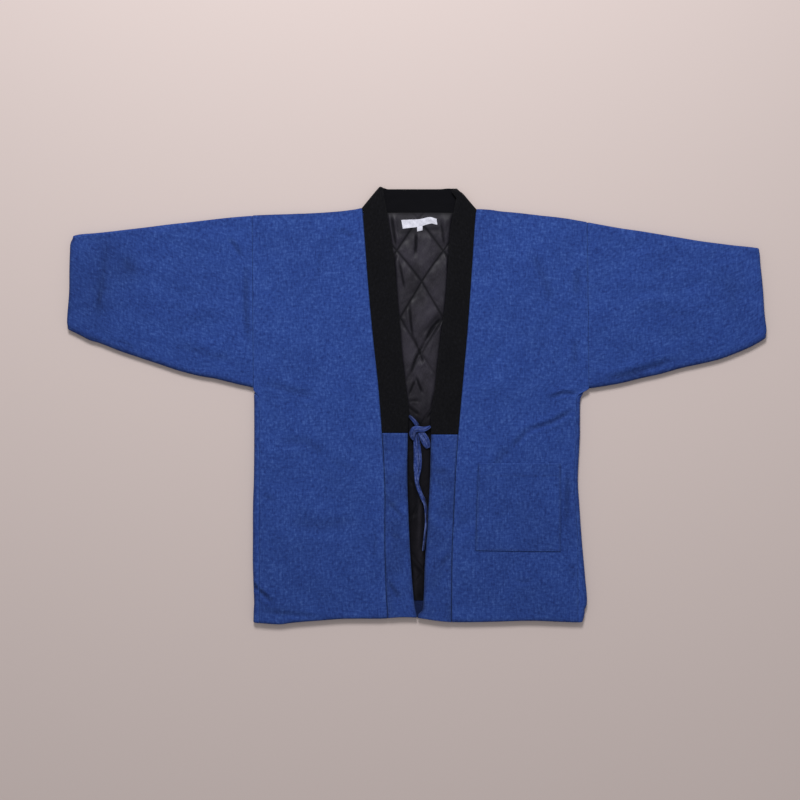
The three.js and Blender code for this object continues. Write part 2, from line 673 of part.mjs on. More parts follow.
// A strip of tie cloth along its table of places
function tieGeometry(table) {
  const keyed = table.map((row, k) => ({ ...row, k }));
  const at = Object.fromEntries(["x", "y", "z", "width", "lean"].map((name) => [name, through(keyed, "k", name)]));
  const rows = steps(0, table.length - 1, (table.length - 1) * 2).map((k) => {
    const ahead = point(at.x(k + 0.05) - at.x(k - 0.05), at.y(k + 0.05) - at.y(k - 0.05), 0).normalize();
    const aside = point(-ahead.y, ahead.x, 0);
    const lean = degToRad(at.lean(k));
    const across = aside.multiplyScalar(Math.cos(lean)).setZ(-Math.sin(lean));
    const middle = point(at.x(k), at.y(k), at.z(k));
    return [0.5, 0, -0.5].map((u) => middle.clone().addScaledVector(across, u * TIE_WIDTH * at.width(k)));
  });
  return cloth(rows, TIE_WALL);
}

const jacket = new THREE.Group();
function sew(name, geometry, color, roughness) {
  const material = new THREE.MeshStandardMaterial({ color, roughness, metalness: 0 });
  geometry.computeVertexNormals();
  const piece = new THREE.Mesh(geometry, material);
  piece.name = name;
  jacket.add(piece);
}

sew("back_panel", backGeometry(), COLOURS.blue, 0.9);
sew("front_right", frontGeometry("right"), COLOURS.blue, 0.9);
sew("front_left", frontGeometry("left"), COLOURS.blue, 0.9);
sew("sleeve_right", sleeveGeometry("right"), COLOURS.blue, 0.9);
sew("sleeve_left", sleeveGeometry("left"), COLOURS.blue, 0.9);
sew("collar", collarGeometry(), COLOURS.black, 0.95);
sew("band_right", bandGeometry("right"), COLOURS.band, 0.9);
sew("band_left", bandGeometry("left"), COLOURS.band, 0.9);
sew("pocket", pocketGeometry(), COLOURS.band, 0.9);
sew("lining_back", liningGeometry(), COLOURS.satin, 0.4);
sew("label", labelGeometry(), COLOURS.white, 0.7);
sew("size_tab", tabGeometry(), COLOURS.white, 0.7);
Object.entries(TIES).forEach(([name, table]) => sew(name, tieGeometry(table), COLOURS.blue, 0.9));

export default jacket;
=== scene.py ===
"""A wadded hanten jacket laid flat on its back, with its cloth, seams, quilting and ties.

Lengths are in millimetres in the frame of the jacket until a mesh is made: Z up from the floor,
Y from hem to collar, X toward the wearer's left sleeve. Left and right are the wearer's.
"""

import math
from functools import reduce

import bpy
import numpy as np
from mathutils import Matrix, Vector


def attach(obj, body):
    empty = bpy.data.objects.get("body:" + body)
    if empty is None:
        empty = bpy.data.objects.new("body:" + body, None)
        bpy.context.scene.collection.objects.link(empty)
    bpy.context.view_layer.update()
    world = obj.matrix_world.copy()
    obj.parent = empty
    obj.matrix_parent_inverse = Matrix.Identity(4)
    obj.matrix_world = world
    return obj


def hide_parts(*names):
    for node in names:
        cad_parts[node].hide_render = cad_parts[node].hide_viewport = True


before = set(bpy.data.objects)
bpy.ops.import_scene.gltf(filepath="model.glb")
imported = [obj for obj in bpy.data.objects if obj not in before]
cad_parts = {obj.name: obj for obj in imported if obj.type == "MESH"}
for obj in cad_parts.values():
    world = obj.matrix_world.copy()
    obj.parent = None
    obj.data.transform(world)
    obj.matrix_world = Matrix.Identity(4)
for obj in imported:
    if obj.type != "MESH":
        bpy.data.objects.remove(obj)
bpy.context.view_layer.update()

MM = 0.001
UP = np.array([0, 0, 1.0])
OUTWARD = {"right": -1, "left": 1}

# Sizes of the cloth
SEAM_GAP = 0.3
WALL = 5.0
FOLD_HOLLOW = 1.2
BAND_WALL = 5.2
LINING_WALL = 1.2
QUILT_RISE = {"low": 1.3, "high": 2.6}
FRONT_PUFF = 2.5
SLEEVE_PUFF = 2.7
PUFF_REACH = 90
TIE_WIDTH = 14
TIE_WALL = 1.8
POCKET_WALL = 1.6
LABEL_WALL = 0.8
BODY_LENGTH = 785
SIDE_X = 320.0  # where the rows of the body's sides are taken
CUFF_HEM = 39  # depth of the hem turned up inside a cuff
BODY_HEM = 32  # depth of the hem turned up at the bottom
POCKET_HEM = 24  # depth of the pocket's turned top hem
POCKET_SEWN = 2.5  # stitch line inside the pocket's edge
POCKET_SIZE = (160, 169)  # width and height
LABEL_SIZE = {"length": 68, "height": 17, "mean_height": 16}
ARMHOLE_RIDGE = {"place": 4.5, "reach": 3.4, "height": 0.45}  # seam allowance beside the armhole
CORNER_REACH = 3.4  # how far the turned collar overlaps the end of the shoulder
NECK_BULGE = {"x": 62, "reach": 10, "rise": 1.4}  # a low rise of the collar's edge behind the neck
TIE_TURN = 0.36  # where across its width a tie's cloth is folded over itself

# Heights of the middle of the cloth, and how far it turns out over a fold
FOLD_MID = (FOLD_HOLLOW + WALL) / 2
FOLD_OUT = FOLD_MID + WALL / 2
FOLD_ROUND = WALL / 2
LOWER_Z = WALL / 2
FOLD_Z = FOLD_OUT
UPPER_Z = FOLD_Z + FOLD_MID
LINING_Z = WALL + SEAM_GAP
NECK_Z = BAND_WALL / 2
BAND_Z = LINING_Z + LINING_WALL + SEAM_GAP + BAND_WALL / 2
LABEL_RISE = 1.5
LABEL_Z = LINING_Z + LINING_WALL + LABEL_RISE + LABEL_WALL / 2

# Share of the rows of a front's seam at which the collar begins, and at which its leg ends
COLLAR_END = {"right": 0.4555, "left": 0.4574}
LEG_TOP = 0.985

SEAM_SPAN = (-410, 377)  # y of a front's seam with its band and collar, from hem to shoulder
UNDERARM = (14, 32)  # y between which the side seam opens into the armhole
SIDE_SEAM = {"inset": 8, "right": -304.5, "left": 312.7}  # inside the fold, and its outermost x

# How long each piece's mesh is taken to be, and the spacing of its rows or columns
DIVIDED = {
    "front": (BODY_LENGTH, 3.3), "front_across": (235, 3.3),
    "back": (BODY_LENGTH, 4.4), "back_side": (19, 0.9),
    "sleeve": (345, 3.5), "sleeve_across": (300, 3.6),
    "leg": (430, 2.6), "collar_across": (52, 2.2),
    "band": (355, 2.8), "band_across": (50, 2.8),
    "pocket": (POCKET_SIZE[1], 2), "pocket_across": (POCKET_SIZE[0], 2),
    "lining": (755, 2), "lining_across": (150, 2),
    "label": (LABEL_SIZE["length"], 1.1), "label_across": (LABEL_SIZE["height"], 0.9),
    "tie_across": (12, 0.8),
}
NECK_COLUMNS = 44
SHOULDER_COLUMNS = 46
NECK_ROWS = 54
CORNER_ROWS = 15
TIE_SPACING = 1.1
TAB_SPACING = 0.8
RIM = (0, 0.12, 0.5, 1.2, 2.4, 4.0)  # where a rounded edge is divided, from the edge inward

# Seeds of the soft ripples
SEED = {
    "front": 11, "front_side": 21, "front_seam": 23, "front_hem": 25,
    "back": 31, "back_edge": 33, "back_under": 35,
    "sleeve": 41, "armhole": 43, "sleeve_under": 45,
    "collar": 51, "collar_fine": 52, "collar_seam": 53, "collar_inside": 54,
    "band": 61, "band_seam": 63, "band_tone": 65,
    "pocket": 71, "pocket_edge": 73, "pocket_shadow": 75,
    "quilt": 81, "gathers": 83, "satin": 85, "satin_fine": 86,
    "label": 91, "tab": 93, "tie": 95, "tone": 100,
}

# Painted shade where the cloth turns down at each kind of edge or sinks into a seam: how dark, and how far
# from it
EDGE_SHADES = {
    "shoulder": (0.34, 4.5), "hem": (0.42, 5), "front_seam": (0.4, 1.1),
    "sleeve_top": (0.32, 4.5), "sleeve_under": (0.42, 8), "cuff": (0.34, 4.5),
    "band_seam": (0.36, 1.2), "beside_band_seam": (0.08, 7),
    "free_edge_right": (0.3, 4), "free_edge_left": (0.42, 4),
    "pocket_edge": (0.2, 1.2), "pocket_stitches": (0.1, 1.2),
}

# Stitches: short raised threads along a line of places
STITCHES = {
    "hem": {"pitch": 7, "length": 1.6, "radius": 0.24},
    "pocket": {"pitch": 3.4, "length": 2.4, "radius": 0.24},
    "quilt": {"pitch": 3.0, "length": 2.2, "radius": 0.2},
}


def table(columns, rows):
    """A short table as one array for each named column."""
    return dict(zip(columns.split(), np.array(rows, float).T))


def tables(columns, groups):
    """One table for each name, all with the same columns."""
    return {name: table(columns, rows) for name, rows in groups.items()}


# Outline of the body: up each side, then across the hem, the shoulders and the neck
SIDES = table("y right left", [
    (-418, -316.4, 322),
    (-403, -316, 326),
    (-394, -315.8, 326.4),
    (-386, -315, 330),
    (-368, -315.3, 330.4),
    (-338, -316.5, 327.6),
    (-300, -317.6, 324.2),
    (-260, -317.4, 320.6),
    (-192, -317.2, 315.8),
    (-144, -315.6, 313),
    (-60, -314.8, 316.8),
    (10, -315, 317.6),
    (20, -315.4, 320.6),
    (28, -315.8, 327),
    (35, -316, 334),
])
ARMHOLE = {"from": 35, "to": 368, "right": (-316, -318.2), "left": (334, 331)}
HEM = table("x y", [
    (-335, -418.5), (-300, -421), (-276, -422.8), (-262, -423), (-245, -420.6), (-226, -418.6),
    (-187, -415.6), (-148, -412.6), (-110, -412), (-68, -412), (-32, -409.4), (-3, -409.8),
    (15, -412.4), (45, -416.8), (69, -418.6), (104, -418.8), (162, -417.6), (220, -416),
    (278, -418), (310, -419.2), (335, -418.5),
])
SHOULDERS = table("x y", [
    (-335, 368.6), (-294, 370.8), (-226, 372.8), (-177, 375.6), (-148, 377.8), (-119, 381.4), (-105, 384),
    (115, 381.8), (143, 380.6), (162, 377.8), (201, 374), (240, 369.4), (278, 365.4), (317, 359.2),
    (335, 355.4),
])
NECKLINE = table("x y", [
    (-105, 377.5), (-80, 375.2), (-56, 373.5), (59, 373.5), (88, 374.3), (115, 375.4),
])
NECK_ENDS = {"right": -105, "left": 115}

# Each front's seam with the collar and band, and the free edge of that collar and band
BAND_SEAM = tables("y x", {
    "right": [
        (-410, -55.5), (-359, -58.8), (-256, -61.5), (-155, -61.5), (-52, -67), (39, -74),
        (132, -84), (225, -92.7), (318, -99.7), (384, -105),
    ],
    "left": [
        (-414, 67.5), (-285, 69), (-211, 72), (-116, 76.4), (-31, 82.8), (62, 91.2),
        (155, 99.3), (248, 106), (341, 112), (381.4, 115),
    ],
})
FREE_EDGE = tables("y x", {
    "right": [
        (-406, 0.4), (-384, -4.1), (-314, -10.3), (-221, -15.1), (-128, -17.8), (-52, -16.5),
        (-12, -15.4), (39, -21.3), (97, -28.1), (213, -37.8), (283, -43.8), (374, -57.2), (424, -67),
    ],
    "left": [
        (-412, 2), (-409, 4.6), (-401, 11), (-384, 13.4), (-314, 15.8), (-221, 21.5), (-151, 25.6),
        (-56, 28), (-19, 28.6), (39, 36.5), (116, 45.2), (213, 57.2), (341, 66), (380, 73), (421, 81),
    ],
})
NECK_FREE_Y = 421  # the collar's free edge behind the neck

# Sleeves: upper and lower edges along x, and the cuff line from its lower to its upper corner
SLEEVE_TOP = tables("x y", {
    "right": [
        (-678, 328.6), (-664, 330.4), (-653, 332.8), (-641, 334), (-624, 335.2), (-595, 338.2),
        (-556, 342.8), (-517, 347.4), (-478, 352.4), (-439, 356.6), (-400, 361.2), (-362, 365.4),
        (-314, 369.4),
    ],
    "left": [
        (330, 356.6), (356, 351.8), (395, 344.8), (434, 339.2), (472, 332.9), (511, 326.4), (550, 319.9),
        (589, 314.8), (618, 311.2), (637, 309.4), (651, 307.8), (661, 306.4), (678, 304),
    ],
})
SLEEVE_BOTTOM = tables("x y", {
    "right": [
        (-678, 149.5), (-672, 146.8), (-664, 143), (-653, 137.6), (-633, 127.4), (-614, 121.8),
        (-575, 106.6), (-536, 93.4), (-498, 80.8), (-459, 67.8), (-420, 58), (-391, 53),
        (-362, 46), (-342, 41), (-323, 37), (-314, 34),
    ],
    "left": [
        (330, 34), (340, 34.6), (356, 37), (395, 43.8), (434, 53.4), (472, 61.8), (511, 72.8), (550, 81.4),
        (589, 91), (627, 105.4), (647, 114.2), (662, 122.4), (672, 128.6), (678, 133.6),
    ],
})
CUFFS = tables("w x", {
    "right": [
        (0, -675.5), (0.04, -676.8), (0.13, -676.2), (0.24, -674.6), (0.35, -673), (0.45, -672.2),
        (0.65, -672), (0.85, -671.2), (0.95, -670), (1, -665.8),
    ],
    "left": [
        (0, 676.6), (0.04, 677.8), (0.1, 677.2), (0.2, 675), (0.31, 673.1), (0.42, 672), (0.54, 670.8),
        (0.65, 669.2), (0.76, 667.4), (0.87, 665.6), (0.96, 664.8), (1, 663.6),
    ],
})

# The largest soft folds on the upper cloth, from one end to the other; a trough is negative
FOLDS = table("x1 y1 x2 y2 reach height", [
    (318, 18, 262, 24, 16, 1.3),
    (294, -12, 181, -72, 22, 1.1),
    (-306, -352, -276, -380, 15, 1.9),
    (-300, 12, -238, -30, 24, 0.9),
    (-170, 330, -215, 120, 40, -0.6),
    (215, 330, 250, 120, 40, -0.6),
    (-604, 318, -592, 170, 26, -1.5),
    (-576, 300, -560, 215, 16, -1),
    (-390, 74, -330, 140, 26, 1),
    (395, 64, 345, 130, 26, 1),
    (560, 116, 575, 250, 28, -0.9),
])

# Smaller creases of each piece, and the folds of the satin between its sewn lines: three places
# along each, its half width, and its rise or depth
CREASES = tables("x1 y1 x2 y2 x3 y3 reach height", {
    "sleeve_right": [
        (-600, 322, -608, 235, -620, 144, 9, -1.1),
        (-575, 303, -589, 206, -602, 138, 9, 1.3),
        (-567, 287, -556, 268, -540, 252, 10, -0.9),
        (-612, 222, -615, 206, -617, 192, 3.5, -1.2),
        (-366, 326, -350, 308, -337, 283, 4.5, -2.2),
        (-329, 279, -331, 196, -325, 109, 7, -2.2),
        (-641, 136, -628, 132, -612, 120, 4, -1.6),
        (-575, 128, -560, 120, -545, 108, 4, -1.2),
        (-517, 206, -439, 194, -352, 182, 10, 0.8),
        (-478, 118, -420, 105, -346, 85, 8, -1),
    ],
    "front_right": [
        (-77.2, -244, -77.4, -268, -77, -291, 2.2, -1.1),
        (-193, 365, -193, 303, -195, 235, 7, 1),
        (-187, 308, -188, 274, -191, 235, 3, -1.2),
        (-152, 338, -139, 336, -121, 326, 5, -1.2),
        (-300, 45, -226, 25, -187, 16, 7, -1.3),
        (-278, -72, -212, -70, -168, -101, 8, -1.1),
        (-168, -101, -145, -114, -119, -126, 8, -0.8),
        (-300, -173, -288, -178, -271, -188, 5, -1.1),
        (-255, -225, -187, -231, -106, -223, 14, -1.3),
        (-336, -328, -301, -359, -276, -383, 3.4, -4.4),
        (-340, -340, -308, -369, -284, -392, 4.5, 1.5),
        (-300, -398, -255, -402, -178, -409, 4, -1.6),
        (-68, -80, -67, -241, -67, -402, 2.5, 0.8),
        (-81, -227, -81, -266, -82, -305, 2.5, -1.1),
    ],
    "band_right": [
        (-57, -180, -40, -202, -20, -223, 4, -1.5),
        (-56, -337, -43, -357, -30, -376, 3.6, -1.9),
        (-48, -246, -42, -252, -30, -256, 5, -0.9),
        (-36, -80, -37, -140, -38, -190, 6, 0.5),
    ],
    "band_left": [
        (46, -312, 55, -299, 65, -285, 5, -1.3),
        (30, -124, 46, -128, 63, -124, 6, -0.8),
        (36, -200, 48, -214, 58, -222, 6, -0.7),
    ],
    "front_left": [
        (220, 303, 249, 239, 265, 192, 9, -1.3),
        (311, 268, 311, 239, 309, 210, 8, -1.5),
        (307, 132, 307, 103, 306, 74, 8, -1.5),
        (253, 14, 284, 25, 314, 24, 3.6, -2.6),
        (205, -50, 258, -33, 306, -7, 4.4, -2.8),
        (216, -46, 200, -64, 184, -80, 5, -2),
        (186, -80, 164, -96, 148, -126, 8, -1.3),
        (294, -124, 292, -182, 288, -235, 6, -1.6),
        (300, -299, 302, -318, 303, -338, 7, -1.3),
        (187, -336, 207, -340, 226, -338, 4, -1.1),
    ],
    "sleeve_left": [
        (408, 219, 482, 200, 564, 180, 8, 0.5),
        (414, 204, 488, 182, 569, 163, 8, -0.4),
        (352, 46, 430, 67, 508, 92, 6.5, -3),
        (600, 250, 612, 210, 618, 170, 12, -0.6),
    ],
    "lining": [
        (-49.5, 376, -46, 350, -39, 304, 2.6, -2.1),
        (-38, 296, -44.6, 278, -42, 244, 2.8, -2.1),
        (-0.4, 338, -1, 312, -2.9, 290, 2.4, -2.2),
        (-34.3, 284, -28.3, 254, -22.3, 223, 2, -1.7),
        (-54, 366, -52, 340, -46, 312, 2.6, 1.2),
        (-40, 366, -38, 338, -33, 306, 2.8, 1),
        (46, 362, 50, 338, 55, 306, 2.2, -1.5),
        (54, 366, 57, 335, 60, 305, 2.6, 1.2),
        (57, 296, 62, 286, 60, 262, 2.2, -1.5),
        (-14, 198, -11, 163, -7, 128, 2.4, -1.7),
        (48, 182, 30, 158, 15, 136, 7, -1.4),
        (50, 172, 31, 150, 14, 122, 2.8, -2),
        (46, 153, 31, 130, 23, 98, 3, 1.4),
        (16, 126, -2, 90, -13, 58, 2.6, -2.1),
        (24, 106, 16, 85, 4, 70, 3.2, 0.9),
        (-8, 140, 8, 100, 19, 68, 2.2, -1.5),
        (-1, 58, 5, 41, 13, 22, 2.2, -1.8),
        (-1, 54, -9, 35, -16, 19, 2.2, -1.5),
        (-16, 9, -5, 11, 7, 9, 2.8, -1),
        (-19, 2, -8, -7, 6, -18, 2.4, -1.7),
        (33, 24, 33, -8, 17, -28, 3, -1.8),
        (15, 32, 17, 8, 14, -14, 4, 1.2),
        (4, -60, 2, -160, 0, -260, 3.5, -0.9),
        (12, -80, 10, -180, 8, -290, 4, 0.9),
        (-6, -90, -8, -170, -7, -260, 3, 0.7),
        (-10, -300, 2, -314, 16, -332, 4.5, -1.4),
        (-8, -290, 5, -303, 18, -318, 4.5, 0.9),
        (5, -362, 7, -370, 10, -376, 5, -1.2),
    ],
})

# Upper and lower corners of the pocket and the label, and the tab below the label
POCKET = {"top": ((120.3, -110.6), (278.4, -110.6)), "bottom": ((114.5, -279.4), (278.4, -281.3))}
LABEL = {"top": ((-29.5, 360.4), (38.8, 362.8)), "bottom": ((-26.6, 343.2), (40.4, 351.2)), "bulge": 3.6}
TAB = {"x": 6.4, "width": 10.6, "length": 9, "rise": 0.6}

# Ties: the strip's middle line, its height, its share of the full width and its lean in degrees
TIES = tables("x y z width lean", {
    "tie_right": [
        (-14.6, -18.6, 9.8, 0.46, 0),
        (-10.4, -22.4, 10.1, 0.5, 0),
        (-4.4, -29.4, 10.8, 0.56, 0),
        (1, -37.4, 11.8, 0.6, 0),
        (5.4, -46.6, 12.2, 0.66, 0),
        (10.2, -55, 12.3, 1.02, 0),
        (15.8, -65, 11.6, 1.2, 0),
        (20.4, -75.5, 10.8, 1.02, 0),
        (22.8, -81.5, 10.3, 0.6, 0),
    ],
    "tie_right_end": [
        (-0.4, -47, 10.4, 0.6, 0),
        (0.6, -71, 10, 0.96, 4),
        (2.2, -98, 9.9, 1.14, 0),
        (2, -118, 9.9, 1.12, -6),
        (1, -134, 9.9, 0.84, -14),
        (1.2, -150, 10.2, 0.6, -6),
        (9.2, -173, 11.2, 0.62, 26),
        (17.2, -192, 13, 0.8, 60),
        (18.4, -222, 13.4, 0.8, 73),
        (15.6, -252, 13.4, 0.8, 73),
        (13, -280, 13, 0.75, 68),
    ],
    "tie_left": [
        (27, -39.4, 12.4, 0.3, 0),
        (21.3, -42.6, 13.6, 0.52, 0),
        (12.7, -45, 15, 0.72, 0),
        (4, -44.6, 15.2, 0.8, 0),
        (-3.8, -45.6, 13.8, 0.95, 0),
        (-7.6, -52.6, 12.6, 1.02, 0),
        (-7.2, -60, 12, 0.74, 0),
        (-6, -66.5, 11.7, 0.2, 0),
    ],
})

# Soft darker spots on a piece's cloth, partly painted shade of broad hollows and folds and partly uneven
# tone: middle, half widths and strength. The lining has lighter ones, low down between the bands, that
# lessen its painted shade there, and dark ones of painted shadow at the knot and at the collar.
TONES = tables("x y wide high tone", {
    "sleeve_right": [
        (-562, 268, 26, 22, 0.13), (-612, 226, 15, 36, 0.1), (-600, 312, 24, 22, 0.08),
        (-655, 250, 140, 160, 0.19), (-420, 320, 90, 70, 0.05),
    ],
    "front_right": [
        (-262, -394, 50, 14, 0.14), (-250, -330, 160, 140, 0.07), (-215, 335, 120, 50, 0.06),
        (-310, -150, 24, 130, 0.04),
    ],
    "front_left": [
        (240, -395, 60, 12, 0.06), (190, -300, 150, 170, 0.07), (130, 320, 40, 60, 0.05),
        (294, -180, 9, 70, 0.1),
    ],
    "sleeve_left": [(600, 210, 40, 60, 0.04), (410, 62, 50, 9, 0.12)],
    "pocket": [
        (200, -200, 140, 130, 0.09), (262, -170, 9, 50, -0.05), (250, -116, 24, 12, 0.06),
    ],
    "lining_light": [
        (6, -190, 6, 26, 0.4), (7, -250, 6, 50, 0.55), (-2.5, -340, 4, 30, 0.6),
    ],
    "lining_dark": [(6, -44, 26, 24, 0.65), (66, 364, 16, 22, 0.5)],
})

# Painted shade along each tie, from the start of its strip to its end; below zero it paints a highlight
# instead
TIE_TONES = tables("share shade", {
    "tie_right": [(0, 0.5), (0.22, 0.12), (0.45, 0.3), (0.6, 0.04), (1, 0.04)],
    "tie_right_end": [(0, 0.3), (0.12, 0.02), (0.55, 0), (0.7, 0), (1, 0.05)],
    "tie_left": [(0, -0.3), (0.4, -0.25), (0.55, 0), (0.68, 0.22), (1, 0.3)],
})

# The collar's turned corners: the fold's two ends, how level its free edge stays, and its rounding
CORNERS = {
    "right": {"seam": (-105.4, 384.8), "free": (-71.8, 425.8), "level": 0.45, "round": 0.8},
    "left": {"seam": (116.8, 380.6), "free": (81.4, 422.4), "level": 0.95, "round": 8.6},
}

# The quilting: one crossing of its lines, and half a diamond's width and height, less at the neck
QUILT_CROSSING = (10.1, 241.1)
DIAMOND = (41.7, 70)
NECK_DIAMOND = 60

# The lining's lower and upper ends, and how far it goes on under the bands
LINING = {"hem": -377, "neck": 374.8, "margin": 12}
# Painted shade on the blue cloth below the lining: where the shade begins and where it is full, by y and by
# the distance from its middle x
SHADED_HEM = {"tone": 0.78, "y": (-366, -380), "x": 7, "wide": (70, 40)}


def rows_of(rows):
    """A table's rows, each as a dict."""
    return [dict(zip(rows, values)) for values in zip(*rows.values())]


def through(rows, key, value):
    """A smooth curve through a table's rows, from its key column to its value column."""
    keys, values = rows[key], rows[value]
    last = len(keys) - 1
    before = np.maximum(np.arange(last + 1) - 1, 0)
    after = np.minimum(np.arange(last + 1) + 1, last)
    slope = (values[after] - values[before]) / (keys[after] - keys[before])

    def read(at):
        at = np.asarray(at, float)
        i = np.clip(np.searchsorted(keys, at, side="right") - 1, 0, last - 1)
        span = keys[i + 1] - keys[i]
        t = np.clip((at - keys[i]) / span, 0, 1)
        ease = t * t * (3 - 2 * t)
        bend = t * (1 - t) * ((1 - t) * slope[i] - t * slope[i + 1])
        return values[i] + (values[i + 1] - values[i]) * ease + span * bend

    return read


def lerp(a, b, t):
    return a + (b - a) * t


def smoothstep(x, low, high):
    t = np.clip((x - low) / (high - low), 0, 1)
    return t * t * (3 - 2 * t)


def bell(away, reach):
    """A soft hump, 1 at its middle."""
    return np.exp(-((away / reach) ** 2))


def fade(away, reach):
    """1 at an edge, dying away from it."""
    return np.exp(-away / reach)


def inside(*edges):
    """1 well inside a piece, 0 at its edges; each edge is a distance and the margin it takes."""
    return math.prod(smoothstep(away, 0, margin) for away, margin in edges)


def nearest(*distances):
    return reduce(np.minimum, distances)


def from_ends(share, length):
    """Distance to the nearer end of a length, at a share of it."""
    return np.minimum(share, 1 - share) * length


def points(*axes):
    """Places from their coordinates, each an array or one number."""
    return np.stack(np.broadcast_arrays(*axes), axis=-1)


def unit(vectors):
    return vectors / np.maximum(np.linalg.norm(vectors, axis=-1, keepdims=True), 1e-9)


def run_lengths(places, axis=0):
    """Distances along a line of places from its first one."""
    steps = np.linalg.norm(np.diff(places, axis=axis), axis=-1)
    start = np.zeros_like(steps.take([0], axis=axis))
    return np.concatenate([start, np.cumsum(steps, axis=axis)], axis=axis)


def on_run(run, lengths, at):
    """Places at distances along a run."""
    return points(*(np.interp(at, lengths, run[:, axis]) for axis in range(3)))


def on_patch(patch, u, v):
    """The place at shares u and v of a patch with four corners."""
    top, bottom = ([lerp(a, b, u) for a, b in zip(*patch[edge])] for edge in ("top", "bottom"))
    return [lerp(low, high, v) for low, high in zip(bottom, top)]


hem_y = through(HEM, "x", "y")
shoulder_y = through(SHOULDERS, "x", "y")
neckline_y = through(NECKLINE, "x", "y")
fold_x = {side: through(SIDES, "y", side) for side in OUTWARD}
band_seam_x = {side: through(BAND_SEAM[side], "y", "x") for side in OUTWARD}
free_x = {side: through(FREE_EDGE[side], "y", "x") for side in OUTWARD}


def armhole_x(side, y):
    return lerp(*ARMHOLE[side], (y - ARMHOLE["from"]) / (ARMHOLE["to"] - ARMHOLE["from"]))


def edge_x(side, y):
    """The body's outermost x: its side fold, or the armhole seam above it."""
    return np.where(y > ARMHOLE["from"], armhole_x(side, y), fold_x[side](y))


def fold_height(fold, x, y):
    """A rounded ridge or trough along a line, fading at both ends."""
    length = math.hypot(fold["x2"] - fold["x1"], fold["y2"] - fold["y1"])
    dx = (fold["x2"] - fold["x1"]) / length
    dy = (fold["y2"] - fold["y1"]) / length
    along = ((x - fold["x1"]) * dx + (y - fold["y1"]) * dy) / length
    aside = (x - fold["x1"]) * dy - (y - fold["y1"]) * dx
    ends = smoothstep(along, -0.2, 0.25) * (1 - smoothstep(along, 0.75, 1.2))
    return fold["height"] * ends * bell(aside, fold["reach"])


def folds_height(x, y):
    return sum(fold_height(fold, x, y) for fold in rows_of(FOLDS))


def crease_height(crease, x, y):
    """A crease along a bent line: a rounded trough with a low roll beside it, or a plain ridge."""
    bends = np.array([(crease[f"x{k}"], crease[f"y{k}"]) for k in (1, 2, 3)])
    spans = np.linalg.norm(np.diff(bends, axis=0), axis=1)
    least = np.full(np.shape(x), np.inf)
    share = np.zeros(np.shape(x))
    for start, end, span, done in zip(bends, bends[1:], spans, (0, spans[0])):
        direction = (end - start) / span
        t = (x - start[0]) * direction[0] + (y - start[1]) * direction[1]
        held = np.clip(t, 0, span)
        away = np.hypot(x - start[0] - held * direction[0], y - start[1] - held * direction[1])
        share = np.where(away < least, (done + held) / spans.sum(), share)
        least = np.minimum(away, least)
    ends = smoothstep(share, 0, 0.3) * (1 - smoothstep(share, 0.7, 1)) * 0.85 + 0.15
    apart = least / crease["reach"]
    roll = 0.35 * bell(apart - 2.1, 0.8) if crease["height"] < 0 else 0
    return crease["height"] * ends * (np.exp(-(apart**1.6)) - roll)


def creases_height(name, x, y):
    return sum(crease_height(crease, x, y) for crease in rows_of(CREASES[name]))


def ripples(x, y, seed, wavelength, stretch=1.0, count=22):
    """Uneven waves of about one wavelength in every direction, with a mean square of one."""
    rng = np.random.default_rng(seed)
    angles = rng.uniform(0, math.pi, count)
    lengths = wavelength * rng.uniform(0.7, 1.6, count)
    phases = rng.uniform(0, 2 * math.pi, count)
    total = 0
    for angle, length, phase in zip(angles, lengths, phases):
        across = x * math.cos(angle) + y * math.sin(angle) / stretch
        total = total + np.cos(2 * math.pi * across / length + phase)
    return total * math.sqrt(2 / count)


def puckers(along, away, seed, wavelength=17, reach=9):
    """Small gathers across a sewn line, dying away from it."""
    return ripples(along, 0 * along, seed, wavelength, count=14) * fade(away, reach)


def gathers(along, away, seed, wavelength=17, reach=9, start=3):
    """Puckers that begin a little way from the sewn line."""
    return puckers(along, away, seed, wavelength, reach) * smoothstep(away, 0, start)


def padding(x, y, seed):
    """The unevenness of wadded cotton cloth."""
    bend = 9 * ripples(x, y, seed + 1, 120)
    broad = 0.50 * ripples(x + bend, y - bend, seed + 2, 62, stretch=1.5)
    small = 0.16 * ripples(x - bend, y + bend, seed + 3, 23, stretch=1.4)
    return broad + small


def underside_hollows(x, y, seed):
    """Depth of the shallow hollows of cloth that lies on the floor; its high places touch the floor."""
    hollows = np.clip(0.3 * ripples(x, y, seed, 70), 0, 0.8)
    creased = sum(0.9 * bell(ripples(x, y, seed + k, 260, stretch=1.6), 0.05) for k in (1, 2))
    return hollows + creased * smoothstep(ripples(x, y, seed + 3, 200), -0.4, 0.6)


def round_edge(away, radius):
    """The share of the full half thickness at a distance from a sewn or folded edge."""
    t = np.clip(away / radius, 0, 1)
    return np.sqrt(np.clip(1 - (1 - t) ** 2, 0, 1))


def sewn_edge(away, dip=0.3):
    """The share of the half thickness beside a seam: a low groove, closed at the very edge."""
    groove = 1 - dip * (1 - np.sin(np.clip(away / 2.6, 0, 1) * math.pi / 2))
    return np.where(away < 0.01, 0, groove)


def hem_line(away):
    """Depth of the groove that a hem's blind stitches draw."""
    return 0.3 * bell(away, 1.4)


def trough_shade(relief):
    """Painted shade in a deep crease: how much darker it is made than the cloth beside it."""
    return 0.26 * np.clip(-relief / 2.2, 0, 1.8)


def edge_shade(kind, away):
    """Painted shade where the cloth turns down at an edge or sinks into a seam."""
    strength, reach = EDGE_SHADES[kind]
    return strength * bell(away, reach)


def spot_tones(name, x, y):
    """The strength of each of a piece's spots at a place."""
    return [
        spot["tone"] * bell(x - spot["x"], spot["wide"]) * bell(y - spot["y"], spot["high"])
        for spot in rows_of(TONES[name])
    ]


